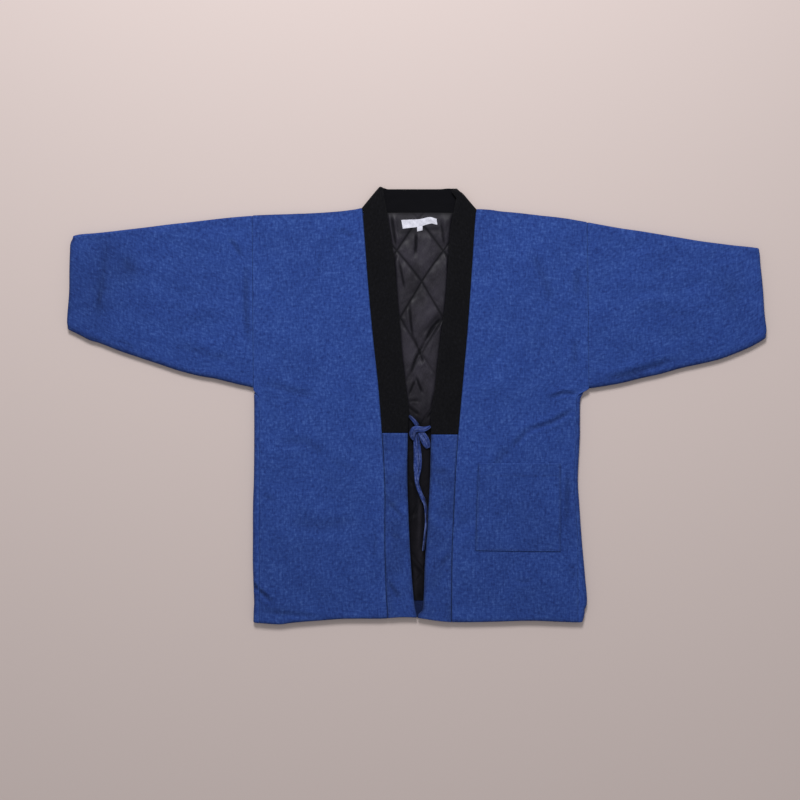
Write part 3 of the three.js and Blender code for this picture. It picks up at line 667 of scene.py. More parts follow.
# Uneven tone of the cloth, and a piece's darker spots, which are partly painted shade
def tone_shade(name, x, y):
    cloudy = 0.02 * np.clip(1 + ripples(x, y, SEED["tone"] + len(name), 130), 0, 2)
    return cloudy + sum(spot_tones(name, x, y))


def spread(length, step, end=True):
    """Shares from 0 to 1 along a length, close together at the rounded ends."""
    last = RIM if end else (0,)
    count = max(round((length - RIM[-1] - last[-1]) / step), 2)
    middle = np.linspace(RIM[-1], length - last[-1], count + 1)
    places = [*RIM[:-1], *middle, *(length - np.array(last[:-1])[::-1])]
    return np.array(places) / length


def run_at(surface, distance, at, columns):
    """Places on a grid where a distance that changes down its rows has one value, column by column."""
    run = []
    for column in columns:
        order = np.argsort(distance[:, column])
        run.append(on_run(surface[order, column], distance[order, column], at))
    return np.array(run)


def surface_normals(middle, loop=False):
    """Normals of a grid of points: across the row direction and the way between rows."""
    if loop:
        along = np.roll(middle, -1, axis=1) - np.roll(middle, 1, axis=1)
    else:
        along = np.gradient(middle, axis=1)
    return unit(np.cross(along, np.gradient(middle, axis=0)))


def grid_uv(middle):
    """Distances along the cloth, across its rows and along its columns, in metres."""
    u, v = run_lengths(middle, axis=1), run_lengths(middle)
    return points(u - u.mean(axis=1, keepdims=True), v.mean(axis=1, keepdims=True)) * MM


def mesh_object(name, vertices, faces, uvs, attributes=()):
    """A smooth-shaded object of four-sided faces; vertices in millimetres, uvs for each vertex."""
    mesh = bpy.data.meshes.new(name)
    mesh.vertices.add(len(vertices))
    mesh.vertices.foreach_set("co", (vertices * MM).astype(np.float32).ravel())
    mesh.loops.add(faces.size)
    mesh.loops.foreach_set("vertex_index", faces.astype(np.int32).ravel())
    mesh.polygons.add(len(faces))
    mesh.polygons.foreach_set("loop_start", np.arange(0, faces.size, 4, dtype=np.int32))
    mesh.update(calc_edges=True)
    layer = mesh.uv_layers.new(name="cloth")
    layer.data.foreach_set("uv", uvs[faces.ravel()].astype(np.float32).ravel())
    for label, values in dict(attributes).items():
        layer = mesh.attributes.new(label, "FLOAT", "POINT")
        layer.data.foreach_set("value", values.astype(np.float32))
    mesh.shade_smooth()
    piece = bpy.data.objects.new(name, mesh)
    bpy.context.collection.objects.link(piece)
    return piece


def cloth(name, middle, normal, out, inner, wear_and_highlight, shade=0, loop=False):
    """A closed piece of cloth round a grid of middle points. Its outer face lies out along the normals
    and its inner face lies inner the other way; the two meet along every free edge."""
    rows, columns = middle.shape[:2]
    front = np.arange(rows * columns).reshape(rows, columns)
    back = front + rows * columns
    back[0], back[-1] = front[0], front[-1]
    if loop:
        front, back = (np.concatenate([grid, grid[:, :1]], axis=1) for grid in (front, back))
    else:
        back[:, 0], back[:, -1] = front[:, 0], front[:, -1]
    outer = (front[:-1, :-1], front[:-1, 1:], front[1:, 1:], front[1:, :-1])
    under = (back[:-1, :-1], back[1:, :-1], back[1:, 1:], back[:-1, 1:])
    faces = np.concatenate([points(*corners).reshape(-1, 4) for corners in (outer, under)])
    used, faces = np.unique(faces, return_inverse=True)
    layers = [middle + normal * out[..., None], middle - normal * inner[..., None]]
    vertices = np.concatenate(layers).reshape(-1, 3)[used]
    uvs = np.tile(grid_uv(middle).reshape(-1, 2), (2, 1))[used]
    # Values for the material: the first lightens the colour, partly where the cloth is rubbed pale and
    # partly as painted highlight; the shade paints shade onto it
    attributes = {
        label: np.tile(np.broadcast_to(values, (rows, columns)).ravel(), 2)[used]
        for label, values in (("wear_and_highlight", wear_and_highlight), ("shade", shade))
    }
    return mesh_object(name, vertices, faces.reshape(-1, 4), uvs, attributes)


def body_rows(name):
    """Row shares from the hem to the shoulder, then the angles of the turned shoulder edge."""
    flat = spread(*DIVIDED[name], end=False)
    turns = np.radians([15, 30, 45, 60, 72, 81, 87, 90])
    row = np.concatenate([flat, np.ones(len(turns))])[:, None]
    turn = np.concatenate([np.zeros(len(flat)), turns])[:, None]
    return row, turn


def from_shoulder(row, turn):
    """Distance from the end of the turned shoulder edge."""
    return FOLD_MID * (math.pi / 2 - turn) + (1 - row) * BODY_LENGTH


def flat_y(x, row, top_y=shoulder_y):
    return lerp(hem_y(x), top_y(x) - FOLD_OUT, row)


def side_y(side, row):
    return flat_y(SIDE_X * OUTWARD[side], row)


def wrap_at(y):
    """1 where the back wraps round the side edge, 0 where it lies open at the armhole."""
    return 1 - smoothstep(y, *UNDERARM)


def side_seam_x(side, y):
    inset = edge_x(side, y) - SIDE_SEAM["inset"] * OUTWARD[side]
    limit = np.maximum if side == "right" else np.minimum
    return limit(inset, SIDE_SEAM[side])


def front_edge_x(side, y):
    """Where a front's outer edge lies: at the armhole, or below it at the side seam."""
    wrapped = wrap_at(y)
    slack = SEAM_GAP / 2 + 3.2 * wrapped * (1 - wrapped)
    return lerp(edge_x(side, y), side_seam_x(side, y), wrapped) - slack * OUTWARD[side]


def front_lift(side, x, y):
    """How far a front swells above its flat place."""
    sign = OUTWARD[side]
    from_side = smoothstep(sign * (front_edge_x(side, y) - x), 0, PUFF_REACH)
    from_hem = smoothstep(y - hem_y(x), 0, PUFF_REACH)
    from_top = smoothstep(shoulder_y(x) - y, FOLD_OUT, PUFF_REACH)
    from_band = smoothstep(sign * (x - band_seam_x[side](y)), 0, PUFF_REACH)
    lift = from_side * from_hem * from_top * (0.14 + 0.86 * from_band) * FRONT_PUFF
    return lift + from_side * folds_height(x, y)


def band_seam(side, row):
    """The point of a front's seam with its collar at a row."""
    guess = band_seam_x[side](lerp(*SEAM_SPAN, row))
    y = flat_y(guess, row)
    return band_seam_x[side](y), y


def front_detail(side, x, y):
    """Relief of a front's face above its middle surface's own swell."""
    sign = OUTWARD[side]
    from_side = sign * (front_edge_x(side, y) - x)
    from_band = sign * (x - band_seam_x[side](y))
    from_hem = y - hem_y(x)
    field = inside((from_side, 6), (from_band, 5), (from_hem, 6))
    relief = field * (padding(x, y, SEED["front"] + sign) + creases_height("front_" + side, x, y))
    relief = relief + 0.28 * gathers(y, from_side, SEED["front_side"] + sign)
    relief = relief + 0.22 * gathers(y, from_band, SEED["front_seam"] + sign, 15, 7)
    relief = relief + 0.3 * gathers(x, from_hem, SEED["front_hem"] + sign, 30, 10, start=4)
    ridge = bell(from_side - ARMHOLE_RIDGE["place"], ARMHOLE_RIDGE["reach"])
    return relief - hem_line(from_hem - BODY_HEM) + ARMHOLE_RIDGE["height"] * ridge * smoothstep(y, 20, 60)


def front_face_z(side, x, y):
    """Height of a front's outer face."""
    return UPPER_Z + SEAM_GAP / 2 + front_lift(side, x, y) + front_detail(side, x, y) + WALL / 2


def from_pocket(x, y):
    """Distance from the pocket's two sides and its bottom, outside it."""
    (top_right, top_left), (bottom_right, bottom_left) = POCKET["top"], POCKET["bottom"]
    side_x = np.interp(y, [bottom_right[1], top_right[1]], [bottom_right[0], top_right[0]])
    bottom_y = np.interp(x, [bottom_right[0], bottom_left[0]], [bottom_right[1], bottom_left[1]])
    past_side = np.maximum(np.maximum(side_x - x, x - top_left[0]), 0)
    past_bottom = np.maximum(bottom_y - y, 0)
    past_top = 6 * np.maximum(y - top_right[1] + 4, 0)
    return np.sqrt(past_side**2 + past_bottom**2 + past_top**2)


sewn_runs = {}  # places of the blind stitches of each hem


def front_piece(side):
    name, sign = "front_" + side, OUTWARD[side]
    row, turn = body_rows("front")
    share = spread(*DIVIDED["front_across"])[None, :]
    outer_x = front_edge_x(side, side_y(side, row))
    inner_x = band_seam(side, row)[0] + SEAM_GAP / 2 * sign
    x = lerp(outer_x, inner_x, share if side == "right" else share[:, ::-1])
    y = flat_y(x, row)
    z = FOLD_Z + SEAM_GAP / 2 + (FOLD_MID + front_lift(side, x, y)) * np.cos(turn)
    middle = points(x, y + FOLD_MID * np.sin(turn), z)
    turned = points(0 * x, np.sin(turn), np.cos(turn))
    normal = np.where((turn > 0)[..., None], turned, surface_normals(middle))
    from_side = sign * (outer_x - x)
    from_band = sign * (x - inner_x)
    from_hem = y - hem_y(x)
    from_top = from_shoulder(row, turn)
    rim = sewn_edge(from_side) * sewn_edge(from_band, 0.5)
    rim = rim * round_edge(from_hem, FOLD_ROUND) * round_edge(from_top, 0.6)
    relief = front_detail(side, x, y) * np.cos(turn)
    face = middle + normal * (WALL / 2 + relief)[..., None]
    flat_from_hem = np.where(turn > 0, BODY_LENGTH * 2, from_hem)
    sewn_runs[name] = run_at(face, flat_from_hem, BODY_HEM, range(3, x.shape[1] - 3))
    # Painted shade in creases and at the shoulder, hem and band seam, with uneven tone
    shade = trough_shade(creases_height(name, x, y)) + tone_shade(name, x, y)
    shade = shade + edge_shade("shoulder", from_top) + edge_shade("hem", from_hem)
    shade = shade + edge_shade("front_seam", from_band)
    # Edges lightened, partly where the cloth is rubbed pale and partly as painted highlight
    wear_and_highlight = fade(nearest(from_side, from_band, from_hem), 3)
    if side == "left":
        # Painted shadow of the pocket on the front, beside its sides and bottom
        uneven = 0.3 + 0.1 * ripples(x, y, SEED["pocket_shadow"], 60)
        shade = shade + uneven * bell(from_pocket(x, y), 2) * lerp(1, 0.6, smoothstep(x, 180, 285))
    else:
        # Painted highlight on the ridge beside the band seam
        highlight_and_wear = 0.5 * bell(from_band - 4.5, 3) * smoothstep(-y, -60, 60)
        wear_and_highlight = np.clip(wear_and_highlight + highlight_and_wear, 0, 1)
    return cloth(name, middle, normal, (WALL / 2 + relief) * rim, WALL / 2 * rim, wear_and_highlight, shade)


def back_side(side, row, share):
    """One side of a back row, from the sewn edge round the side fold to the flat."""
    sign = OUTWARD[side]
    y = side_y(side, row)
    fold = edge_x(side, y) - FOLD_OUT * sign
    start = side_seam_x(side, y) + SEAM_GAP / 2 * sign
    flat = np.abs(fold - start)
    arc = FOLD_MID * math.pi
    reach = share * (flat + arc)
    angle = np.clip((reach - flat) / FOLD_MID, 0, math.pi)
    wrapped_x = np.where(reach < flat, start + sign * reach, fold + sign * FOLD_MID * np.sin(angle))
    wrapped_z = FOLD_Z + FOLD_MID * np.cos(angle)
    armhole = edge_x(side, y) - SEAM_GAP / 2 * sign
    wrapped = wrap_at(y)
    return lerp(lerp(armhole, fold, share), wrapped_x, wrapped), lerp(LOWER_Z, wrapped_z, wrapped)


def back_top_y(x):
    at_neck = (x >= NECK_ENDS["right"]) & (x <= NECK_ENDS["left"])
    return np.where(at_neck, neckline_y(x), shoulder_y(x))


def back_shade(x, y, z, turn, folded, creased):
    """Painted shade on the back: in its creases, over its side folds and shoulders, and at the lining's
    lower end.
    """
    from_outline = nearest(*(np.abs(x - edge_x(side, y)) for side in OUTWARD))
    over_fold = np.where(x < 0, 0.55, 0.4) * bell(from_outline, 5.5)
    over_fold = np.where(y < UNDERARM[1], smoothstep(z, LOWER_Z, UPPER_Z) * over_fold, 0)
    low = smoothstep(y, *SHADED_HEM["y"]) * smoothstep(np.abs(x - SHADED_HEM["x"]), *SHADED_HEM["wide"])
    shade = folded * trough_shade(creased) + over_fold + np.where(turn > 0, 0.2, 0)
    return shade + SHADED_HEM["tone"] * (z < UPPER_Z) * low


def back_piece():
    row, turn = body_rows("back")
    share = spread(*DIVIDED["back_side"], end=False)[None, :]
    right_x, right_z = back_side("right", row, share)
    left_x, left_z = back_side("left", row, share)
    neck = np.linspace(NECK_ENDS["right"], NECK_ENDS["left"], NECK_COLUMNS)[None, :] + 0 * row
    beside = np.linspace(0, 1, SHOULDER_COLUMNS)[None, :]
    right_middle = lerp(right_x[:, -1:], NECK_ENDS["right"] - SEAM_GAP, beside[:, 1:])
    left_middle = lerp(NECK_ENDS["left"] + SEAM_GAP, left_x[:, -1:], beside[:, :-1])
    middle_x = np.concatenate([right_middle, neck, left_middle], axis=1)
    x = np.concatenate([right_x, middle_x, left_x[:, ::-1]], axis=1)
    z = np.concatenate([right_z, LOWER_Z + 0 * middle_x, left_z[:, ::-1]], axis=1)
    y = flat_y(x, row, back_top_y)
    outside = (x < NECK_ENDS["right"]) | (x > NECK_ENDS["left"])
    at_neck = (FOLD_OUT - SEAM_GAP / 2) * turn / (math.pi / 2)
    reach = np.where(outside, FOLD_MID * np.sin(turn), at_neck)
    rise = np.where(outside, (FOLD_MID - SEAM_GAP / 2) * (1 - np.cos(turn)), 0)
    middle = points(x, y + reach, z + rise)
    turned = points(0 * x, -np.sin(turn) * outside, np.where(outside, np.cos(turn), 1))
    normal = np.where((turn > 0)[..., None], turned, surface_normals(middle))
    from_right = run_lengths(middle, axis=1)
    from_left = from_right[:, -1:] - from_right
    from_hem = y - hem_y(x)
    from_top = from_shoulder(row, turn)
    rim = sewn_edge(from_right) * sewn_edge(from_left)
    rim = rim * round_edge(from_hem, FOLD_ROUND) * round_edge(from_top, 0.6)
    edge = nearest(from_right, from_left, from_hem)
    folded = smoothstep(z, UPPER_Z - 2.5, UPPER_Z) * smoothstep(edge, 0, 3)
    creased = np.where(x < 0, creases_height("front_right", x, y), creases_height("front_left", x, y))
    waves = 0.35 * ripples(x, y, SEED["back"], 60, stretch=3) + 0.3 * puckers(y, edge, SEED["back_edge"])
    resting = smoothstep(-z, -LOWER_Z - 0.6, -LOWER_Z) * inside((edge, 12), (from_top, 12))
    relief = folded * (waves + creased) - resting * underside_hollows(x, y, SEED["back_under"])
    shade = back_shade(x, y, z, turn, folded, creased)
    inner = (WALL / 2 + relief) * rim
    # Its edges are lightened, partly where the cloth is rubbed pale and partly as painted highlight
    return cloth("back_panel", middle, normal, WALL / 2 * rim, inner, fade(edge, 3), shade)


def sleeve_ring(width, step):
    """Places round a flattened sleeve: the share across its flat, the fold's side, and the angle."""
    flat = np.linspace(0, 1, round(width / step) + 1)
    bend = np.linspace(0, math.pi, 10)[1:-1]
    under = [(w, 0, math.pi) for w in flat[::-1]]
    lower = [(0, -1, angle) for angle in bend[::-1]]
    upper = [(w, 0, 0) for w in flat]
    top = [(1, 1, angle) for angle in bend]
    return np.array([*under, *lower, *upper, *top]).T


def sleeve_piece(side):
    name, sign = "sleeve_" + side, OUTWARD[side]
    top_y = through(SLEEVE_TOP[side], "x", "y")
    bottom_y = through(SLEEVE_BOTTOM[side], "x", "y")
    cuff_x = through(CUFFS[side], "w", "x")
    w, fold_side, angle = (values[None, :] for values in sleeve_ring(*DIVIDED["sleeve_across"]))
    station = spread(*DIVIDED["sleeve"])[:, None]
    if side == "left":
        station = station[::-1]
    start = ARMHOLE[side][0]
    arm_y = lerp(bottom_y(start) + FOLD_OUT, top_y(start) - FOLD_OUT, w)
    arm_x = armhole_x(side, arm_y) + SEAM_GAP / 2 * sign
    x = lerp(arm_x, cuff_x(w), station)
    low, high = bottom_y(x) + FOLD_OUT, top_y(x) - FOLD_OUT
    flat = lerp(low, high, w)
    y = flat + fold_side * FOLD_MID * np.sin(angle)
    upper, under = (np.where((angle == at) & (fold_side == 0), 1.0, 0.0) for at in (0, math.pi))
    full = smoothstep(station, 0, 0.25) * (1 - 0.45 * smoothstep(station, 0.75, 1))
    lift = upper * np.sin(math.pi * w) * full * (SLEEVE_PUFF + folds_height(x, y))
    middle = points(x, y, FOLD_Z + FOLD_MID * np.cos(angle) + lift)
    normal = surface_normals(middle, loop=True)
    from_armhole = np.abs(x - arm_x)
    from_cuff = np.abs(x - cuff_x(w))
    across = np.minimum(flat - low, high - flat)
    rim = sewn_edge(from_armhole) * round_edge(from_cuff, FOLD_ROUND)
    deep = creases_height(name, x, y)
    face = inside((from_armhole, 7), (across, 9)) * (padding(y, x, SEED["sleeve"] + sign) + deep)
    face = face + 0.3 * gathers(y, from_armhole, SEED["armhole"] + sign)
    hollows = underside_hollows(x, y, SEED["sleeve_under"] + sign)
    hollows = inside((across, 12), (from_armhole, 12)) * hollows
    relief = (upper * face - under * hollows) * smoothstep(from_cuff, 0, 4)
    relief = relief - upper * hem_line(from_cuff - CUFF_HEM)
    top_columns = np.nonzero(upper[0])[0][2:-2]
    surface = middle + normal * (WALL / 2 + relief)[..., None]
    sewn_runs[name] = run_at(surface, from_cuff, CUFF_HEM, top_columns)
    # Painted shade along the top and lower edges, in creases and at the cuff, with uneven tone; the
    # lightened edges are partly rubbed pale and partly painted highlight
    turned = edge_shade("sleeve_top", top_y(x) - y) + edge_shade("sleeve_under", y - bottom_y(x))
    shade = upper * (trough_shade(deep) + tone_shade(name, x, y) + edge_shade("cuff", from_cuff))
    wear_and_highlight = fade(np.minimum(from_armhole, from_cuff), 3)
    out = (WALL / 2 + relief) * rim
    return cloth(name, middle, normal, out, WALL / 2 * rim, wear_and_highlight, shade + (1 - under) * turned, loop=True)


def leg_rows(side, row, share):
    """Rows across a collar leg, from its seam to its free edge, in plan."""
    seam_x, seam_y = band_seam(side, row)
    start = COLLAR_END[side]
    part = (row - start) / (1 - start)
    low_y = band_seam(side, np.array([[start]]))[1]
    free_y = lerp(low_y, FREE_EDGE[side]["y"][-1] - FOLD_OUT, part)
    x = lerp(seam_x - SEAM_GAP / 2 * OUTWARD[side], free_x[side](free_y), share)
    return x, lerp(seam_y, free_y, share), BAND_Z


def crease_rows(side, share):
    """The crease where the collar turns from the neck over to the front."""
    corner = CORNERS[side]
    free_end = np.array(corner["free"])
    line = unit(free_end - np.array(corner["seam"]))
    seam_end = np.array(corner["seam"]) - CORNER_REACH * line
    inward = np.array([line[1], -line[0]]) * -OUTWARD[side]
    radius = (BAND_Z - NECK_Z) / 2
    turn = np.radians(np.linspace(90, -90, CORNER_ROWS))[:, None]
    shift = BAND_WALL / 2 + radius * (1 - np.cos(turn))
    further = -corner["level"] * shift * inward[1] / line[1]
    x, y = (lerp(seam_end[k], free_end[k] + further * line[k], share) for k in (0, 1))
    z = (BAND_Z + NECK_Z) / 2 + radius * np.sin(turn)
    rounded = shift + corner["round"] * smoothstep(share, 0.66, 1) ** 1.5 * (1 + np.sin(turn)) / 2
    return x + rounded * inward[0], y + rounded * inward[1], z


def neck_rows(starts, ends, share):
    """The strip behind the neck, between the last rows of the two turned corners."""
    t = np.linspace(0, 1, NECK_ROWS)[1:-1, None]
    seam_x = lerp(starts[0][0], ends[0][0], t)
    free_end_x = lerp(starts[0][-1], ends[0][-1], t)
    bulge = bell(free_end_x - NECK_BULGE["x"], NECK_BULGE["reach"])
    free_end_y = NECK_FREE_Y + NECK_BULGE["rise"] * bulge
    for tip in (starts, ends):
        beside = smoothstep(np.abs(free_end_x - tip[0][-1]), 0, 11)
        free_end_y = lerp(tip[1][-1], free_end_y, beside)
    y = lerp(neckline_y(seam_x) + SEAM_GAP / 2, free_end_y, share)
    return lerp(seam_x, free_end_x, share), y, NECK_Z


def collar_piece():
    """The folded black collar, from the end of its right leg round the neck to that of its left."""
    share = spread(*DIVIDED["collar_across"])[None, :]
    leg = spread(*DIVIDED["leg"], end=False)[:, None]
    legs = [points(*leg_rows(side, lerp(COLLAR_END[side], LEG_TOP, leg), share)) for side in OUTWARD]
    corners = [points(*crease_rows(side, share)) for side in OUTWARD]
    neck = points(*neck_rows(*(corner[-1].T for corner in corners), share))
    middle = np.concatenate([legs[0], corners[0], neck, corners[1][::-1], legs[1][::-1]])
    normal = surface_normals(middle)
    along = run_lengths(middle[:, middle.shape[1] // 2])[:, None]
    width = np.linalg.norm(middle[:, -1] - middle[:, 0], axis=1)[:, None]
    from_seam, from_free = share * width, (1 - share) * width
    from_end = np.minimum(along, along[-1] - along)
    half = BAND_WALL / 2
    rim = sewn_edge(from_seam, 0.45) * round_edge(from_free, half) * sewn_edge(from_end, 0.4)
    field = inside((from_seam, 5), (from_free, 5), (from_end, 5))
    broad = 0.2 * ripples(from_seam, along, SEED["collar"], 34, stretch=2.5)
    fine = 0.07 * ripples(from_seam, along, SEED["collar_fine"], 12)
    gather = 0.18 * gathers(along + 0 * share, from_seam, SEED["collar_seam"], 15, 6)
    face_up, face_in = (np.clip(sign * normal[..., 2], 0, 1) for sign in (1, -1))
    relief = face_up * (field * (broad + fine) + gather)
    inner = face_in * field * 0.16 * ripples(along, from_seam, SEED["collar_inside"], 40, stretch=0.6)
    # Painted shade on the low strip behind the neck; the edges are lightened, partly rubbed pale and partly
    # as painted highlight
    at_neck = smoothstep(-middle[..., 2], -NECK_Z - 1.5, -NECK_Z)
    shade = at_neck * (0.8 + 0.2 * smoothstep(from_seam, 0, 12))
    wear_and_highlight = fade(nearest(from_seam, from_free, from_end), 2.5)
    return cloth("collar", middle, normal, (half + relief) * rim, (half + inner) * rim, wear_and_highlight, shade)


def band_piece(side):
    """The blue band below the collar."""
    name, sign, end = "band_" + side, OUTWARD[side], COLLAR_END[side]
    row = (spread(*DIVIDED["band"]) * end)[:, None]
    share = spread(*DIVIDED["band_across"])[None, :]
    seam_x, seam_y = band_seam(side, row)
    drop = SEAM_GAP * smoothstep(row, end - 0.002, end)
    x = lerp(seam_x - SEAM_GAP / 2 * sign, free_x[side](seam_y), share)
    y = seam_y - drop + (hem_y(x) - hem_y(seam_x)) * (1 - row / end) ** 3
    if side == "left":
        x, y = x[::-1], y[::-1]
    middle = points(x, y, BAND_Z)
    width = np.abs(x[:, -1:] - x[:, :1])
    from_seam, from_free = share * width, (1 - share) * width
    from_hem, from_collar = y - hem_y(x), np.max(y, axis=0)[None, :] - y
    from_ends = np.minimum(from_hem, from_collar)
    half = BAND_WALL / 2
    rim = sewn_edge(from_seam, 0.5) * round_edge(from_free, half) * sewn_edge(from_collar, 0.4)
    rim = rim * round_edge(from_hem, FOLD_ROUND)
    creased = creases_height(name, x, y)
    field = inside((from_seam, 5), (from_free, 5), (from_ends, 5))
    relief = field * (0.8 * padding(x, y, SEED["band"] + sign) + creased)
    relief = relief + 0.2 * gathers(y, from_seam, SEED["band_seam"] + sign, 15, 7)
    cloudy = 0.08 * np.clip(1 + ripples(x, y, SEED["band_tone"] + sign, 60), 0, 2)
    # Painted shade in creases, at the free edge and at the seam, with uneven tone; the lightened edges are
    # partly rubbed pale and partly painted highlight
    shade = trough_shade(1.4 * creased) + cloudy + edge_shade("free_edge_" + side, from_free)
    shade = shade + edge_shade("band_seam", from_seam) + edge_shade("beside_band_seam", from_seam)
    wear_and_highlight = fade(nearest(from_seam, from_free, from_ends), 2.5)
    return cloth(name, middle, surface_normals(middle), (half + relief) * rim, half * rim, wear_and_highlight, shade)


def pocket_height(x, y, u, v):
    """Height of the pocket's outer face."""
    sewn = np.minimum(from_ends(u, POCKET_SIZE[0]), v * POCKET_SIZE[1])
    from_top = (1 - v) * POCKET_SIZE[1]
    slack = 0.5 * smoothstep(sewn, 1, 25) * smoothstep(from_top, -20, 10)
    hem = 0.35 * (1 - smoothstep(from_top, POCKET_HEM, POCKET_HEM + 2))
    grooves = 0.35 * bell(sewn - POCKET_SEWN, 0.9) + 0.3 * bell(from_top - POCKET_HEM, 0.9)
    waves = 0.14 * ripples(x, y, SEED["pocket"], 38)
    waves = waves + 0.15 * puckers(x + y, sewn, SEED["pocket_edge"], 14, 7)
    relief = slack + hem - grooves + waves * smoothstep(sewn, 0, 4)
    return front_face_z("left", x, y) + POCKET_WALL + relief


def pocket_piece():
    u = spread(*DIVIDED["pocket_across"])[None, :]
    v = spread(*DIVIDED["pocket"])[:, None]
    x, y = on_patch(POCKET, u, v)
    top = pocket_height(x, y, u, v)
    under = front_face_z("left", x, y) + 0.05
    from_side, from_bottom = from_ends(u, POCKET_SIZE[0]), v * POCKET_SIZE[1]
    sewn = np.minimum(from_side, from_bottom)
    from_edge = nearest(from_side, from_ends(v, POCKET_SIZE[1]))
    half = (top - under) / 2 * round_edge(from_edge, 0.9)
    # Painted shade at the pocket's sewn edges and its stitch line, with its darker spots
    shade = tone_shade("pocket", x, y) + edge_shade("pocket_edge", sewn)
    shade = np.clip(shade + edge_shade("pocket_stitches", sewn - POCKET_SEWN), 0, 1)
    return cloth("pocket", points(x, y, (top + under) / 2), UP, half, half, fade(from_edge, 2), shade)


def quilt_shares(x, y):
    """Place in the quilting: whole numbers on each family of sewn lines. The rows close up at the neck."""
    above = np.clip((y - QUILT_CROSSING[1]) / NECK_DIAMOND, 0, 2)
    close = np.where(above > 0, DIAMOND[1] / NECK_DIAMOND, 1.0)
    aside = (x - QUILT_CROSSING[0] + 3.3 * above) / (DIAMOND[0] * (1 + 0.08 * above))
    up = (y - QUILT_CROSSING[1]) * close / DIAMOND[1]
    sway = 0.02 * ripples(x, y, SEED["quilt"], 150) * smoothstep(-y, -150, 0)
    return (aside + up) / 2 + sway, (aside - up) / 2 + sway


def from_quilt_lines(x, y):
    """Distance to the nearest line of each family of sewn lines."""
    scale = 2 * DIAMOND[0] * DIAMOND[1] / math.hypot(*DIAMOND)
    return [np.abs(share - np.round(share)) * scale for share in quilt_shares(x, y)]


def under_label(x, y):
    """1 where the satin lies flat behind the label, fading to 0 round it."""
    return smoothstep(x, -46, -30) * smoothstep(-x, -56, -42) * smoothstep(y, 322, 342)


def lining_height(x, y):
    """Height of the quilted satin above its flat underside."""
    away = from_quilt_lines(x, y)
    least = np.minimum(*away)
    rise = lerp(QUILT_RISE["low"], QUILT_RISE["high"], smoothstep(y, 0, 190))
    pillow = np.prod([1 - fade(d, 5.5) for d in away], axis=0)
    along = np.where(away[0] < away[1], y + 0.5 * x, y - 0.5 * x)
    gathered = 0.45 * ripples(along, 0 * along, SEED["gathers"], 11, count=12)
    gathered = gathered * fade(least, 7) * (1 - fade(least, 1.5))
    soft = 0.4 * ripples(x, y, SEED["satin"], 30, stretch=2.5)
    soft = soft + 0.2 * ripples(x, y, SEED["satin_fine"], 13, stretch=2)
    relief = gathered + creases_height("lining", x, y) + soft
    relief = rise * pillow + relief * smoothstep(least, 0.3, 4)
    relief = lerp(relief, np.minimum(relief, 0.9), under_label(x, y))
    from_bands = np.minimum(x - free_x["right"](y), free_x["left"](y) - x)
    clear = smoothstep(from_bands, -1.5, 4) * smoothstep(y - LINING["hem"], 0, 12)
    clear = clear * smoothstep(LINING["neck"] - y, -4, 16)
    return LINING_WALL + clear * np.maximum(relief + 0.2, -0.5)


def tie_end_shade(x, y):
    """Painted shadow on the satin beside the hanging end of the right tie."""
    end = TIES["tie_right_end"]
    end_x, end_width = (np.interp(-y, -end["y"], end[column]) for column in ("x", "width"))
    away = np.maximum(np.abs(x - end_x) - TIE_WIDTH / 2 * end_width, 0)
    return 0.6 * bell(away, 5) * smoothstep(y, -290, -270) * smoothstep(-y, 20, 40)


def lining_shade(x, y):
    """Painted shade on the satin: its sewn lines and folds, shadows beside the bands, label, neck and tie,
    and low between the bands.
    """
    lines = 0.9 * bell(np.minimum(*from_quilt_lines(x, y)), 2.1)
    lines = lines * lerp(1, 0.25, smoothstep(y, 350, 360)) * lerp(0.3, 1, smoothstep(y, 60, 190))
    low = 0.8 * smoothstep(-y, -30, 60) * (1 - sum(spot_tones("lining_light", x, y)))
    down = smoothstep(-y, 0, 60)
    from_right, from_left = (np.maximum(d, 0) for d in (x - free_x["right"](y), free_x["left"](y) - x))
    beside_right = lerp(0.8, 0.95, down) * fade(from_right, lerp(3, 6, down))
    beside_left = 0.85 * fade(from_left, 3.4)
    folded = 0.85 * np.clip(-creases_height("lining", x, y) / 1.4, 0, 1)
    below_label = smoothstep(x, -38, -28) * smoothstep(-x, -50, -40) * bell(y - 340 - 0.1 * x, 5)
    at_neck = 0.7 * fade(np.maximum(LINING["neck"] - 2 - y, 0), 4)
    parts = [lines, low, beside_right, beside_left, folded, 0.5 * below_label, at_neck, tie_end_shade(x, y)]
    return 1 - np.prod([1 - part for part in parts + spot_tones("lining_dark", x, y)], axis=0)


def lining_piece():
    rows = spread(*DIVIDED["lining"])[:, None]
    share = spread(*DIVIDED["lining_across"])[None, :]
    y = lerp(LINING["hem"], LINING["neck"], rows) + 0 * share
    right = free_x["right"](y) - LINING["margin"]
    left = free_x["left"](y) + LINING["margin"]
    x = lerp(right, left, share)
    rim = round_edge(nearest(x - right, left - x, y - LINING["hem"], LINING["neck"] - y), 0.6)
    half = LINING_WALL / 2
    middle = points(x, y, LINING_Z + half)
    top = (lining_height(x, y) - half) * rim
    return cloth("lining_back", middle, UP, top, half * rim, 0, lining_shade(x, y))


def label_point(u, v):
    x, y = on_patch(LABEL, u, v)
    return x, y + LABEL["bulge"] * smoothstep(u, 0.45, 0.82) * (1 - smoothstep(u, 0.82, 1))


def woven_strip(name, x, y, from_edge, relief):
    """A thin flat piece with rounded edges."""
    half = LABEL_WALL / 2 * round_edge(from_edge, 0.4)
    # The edges are lightened, partly rubbed pale and partly as painted highlight
    return cloth(name, points(x, y, LABEL_Z + relief), UP, half, half, fade(from_edge, 1))


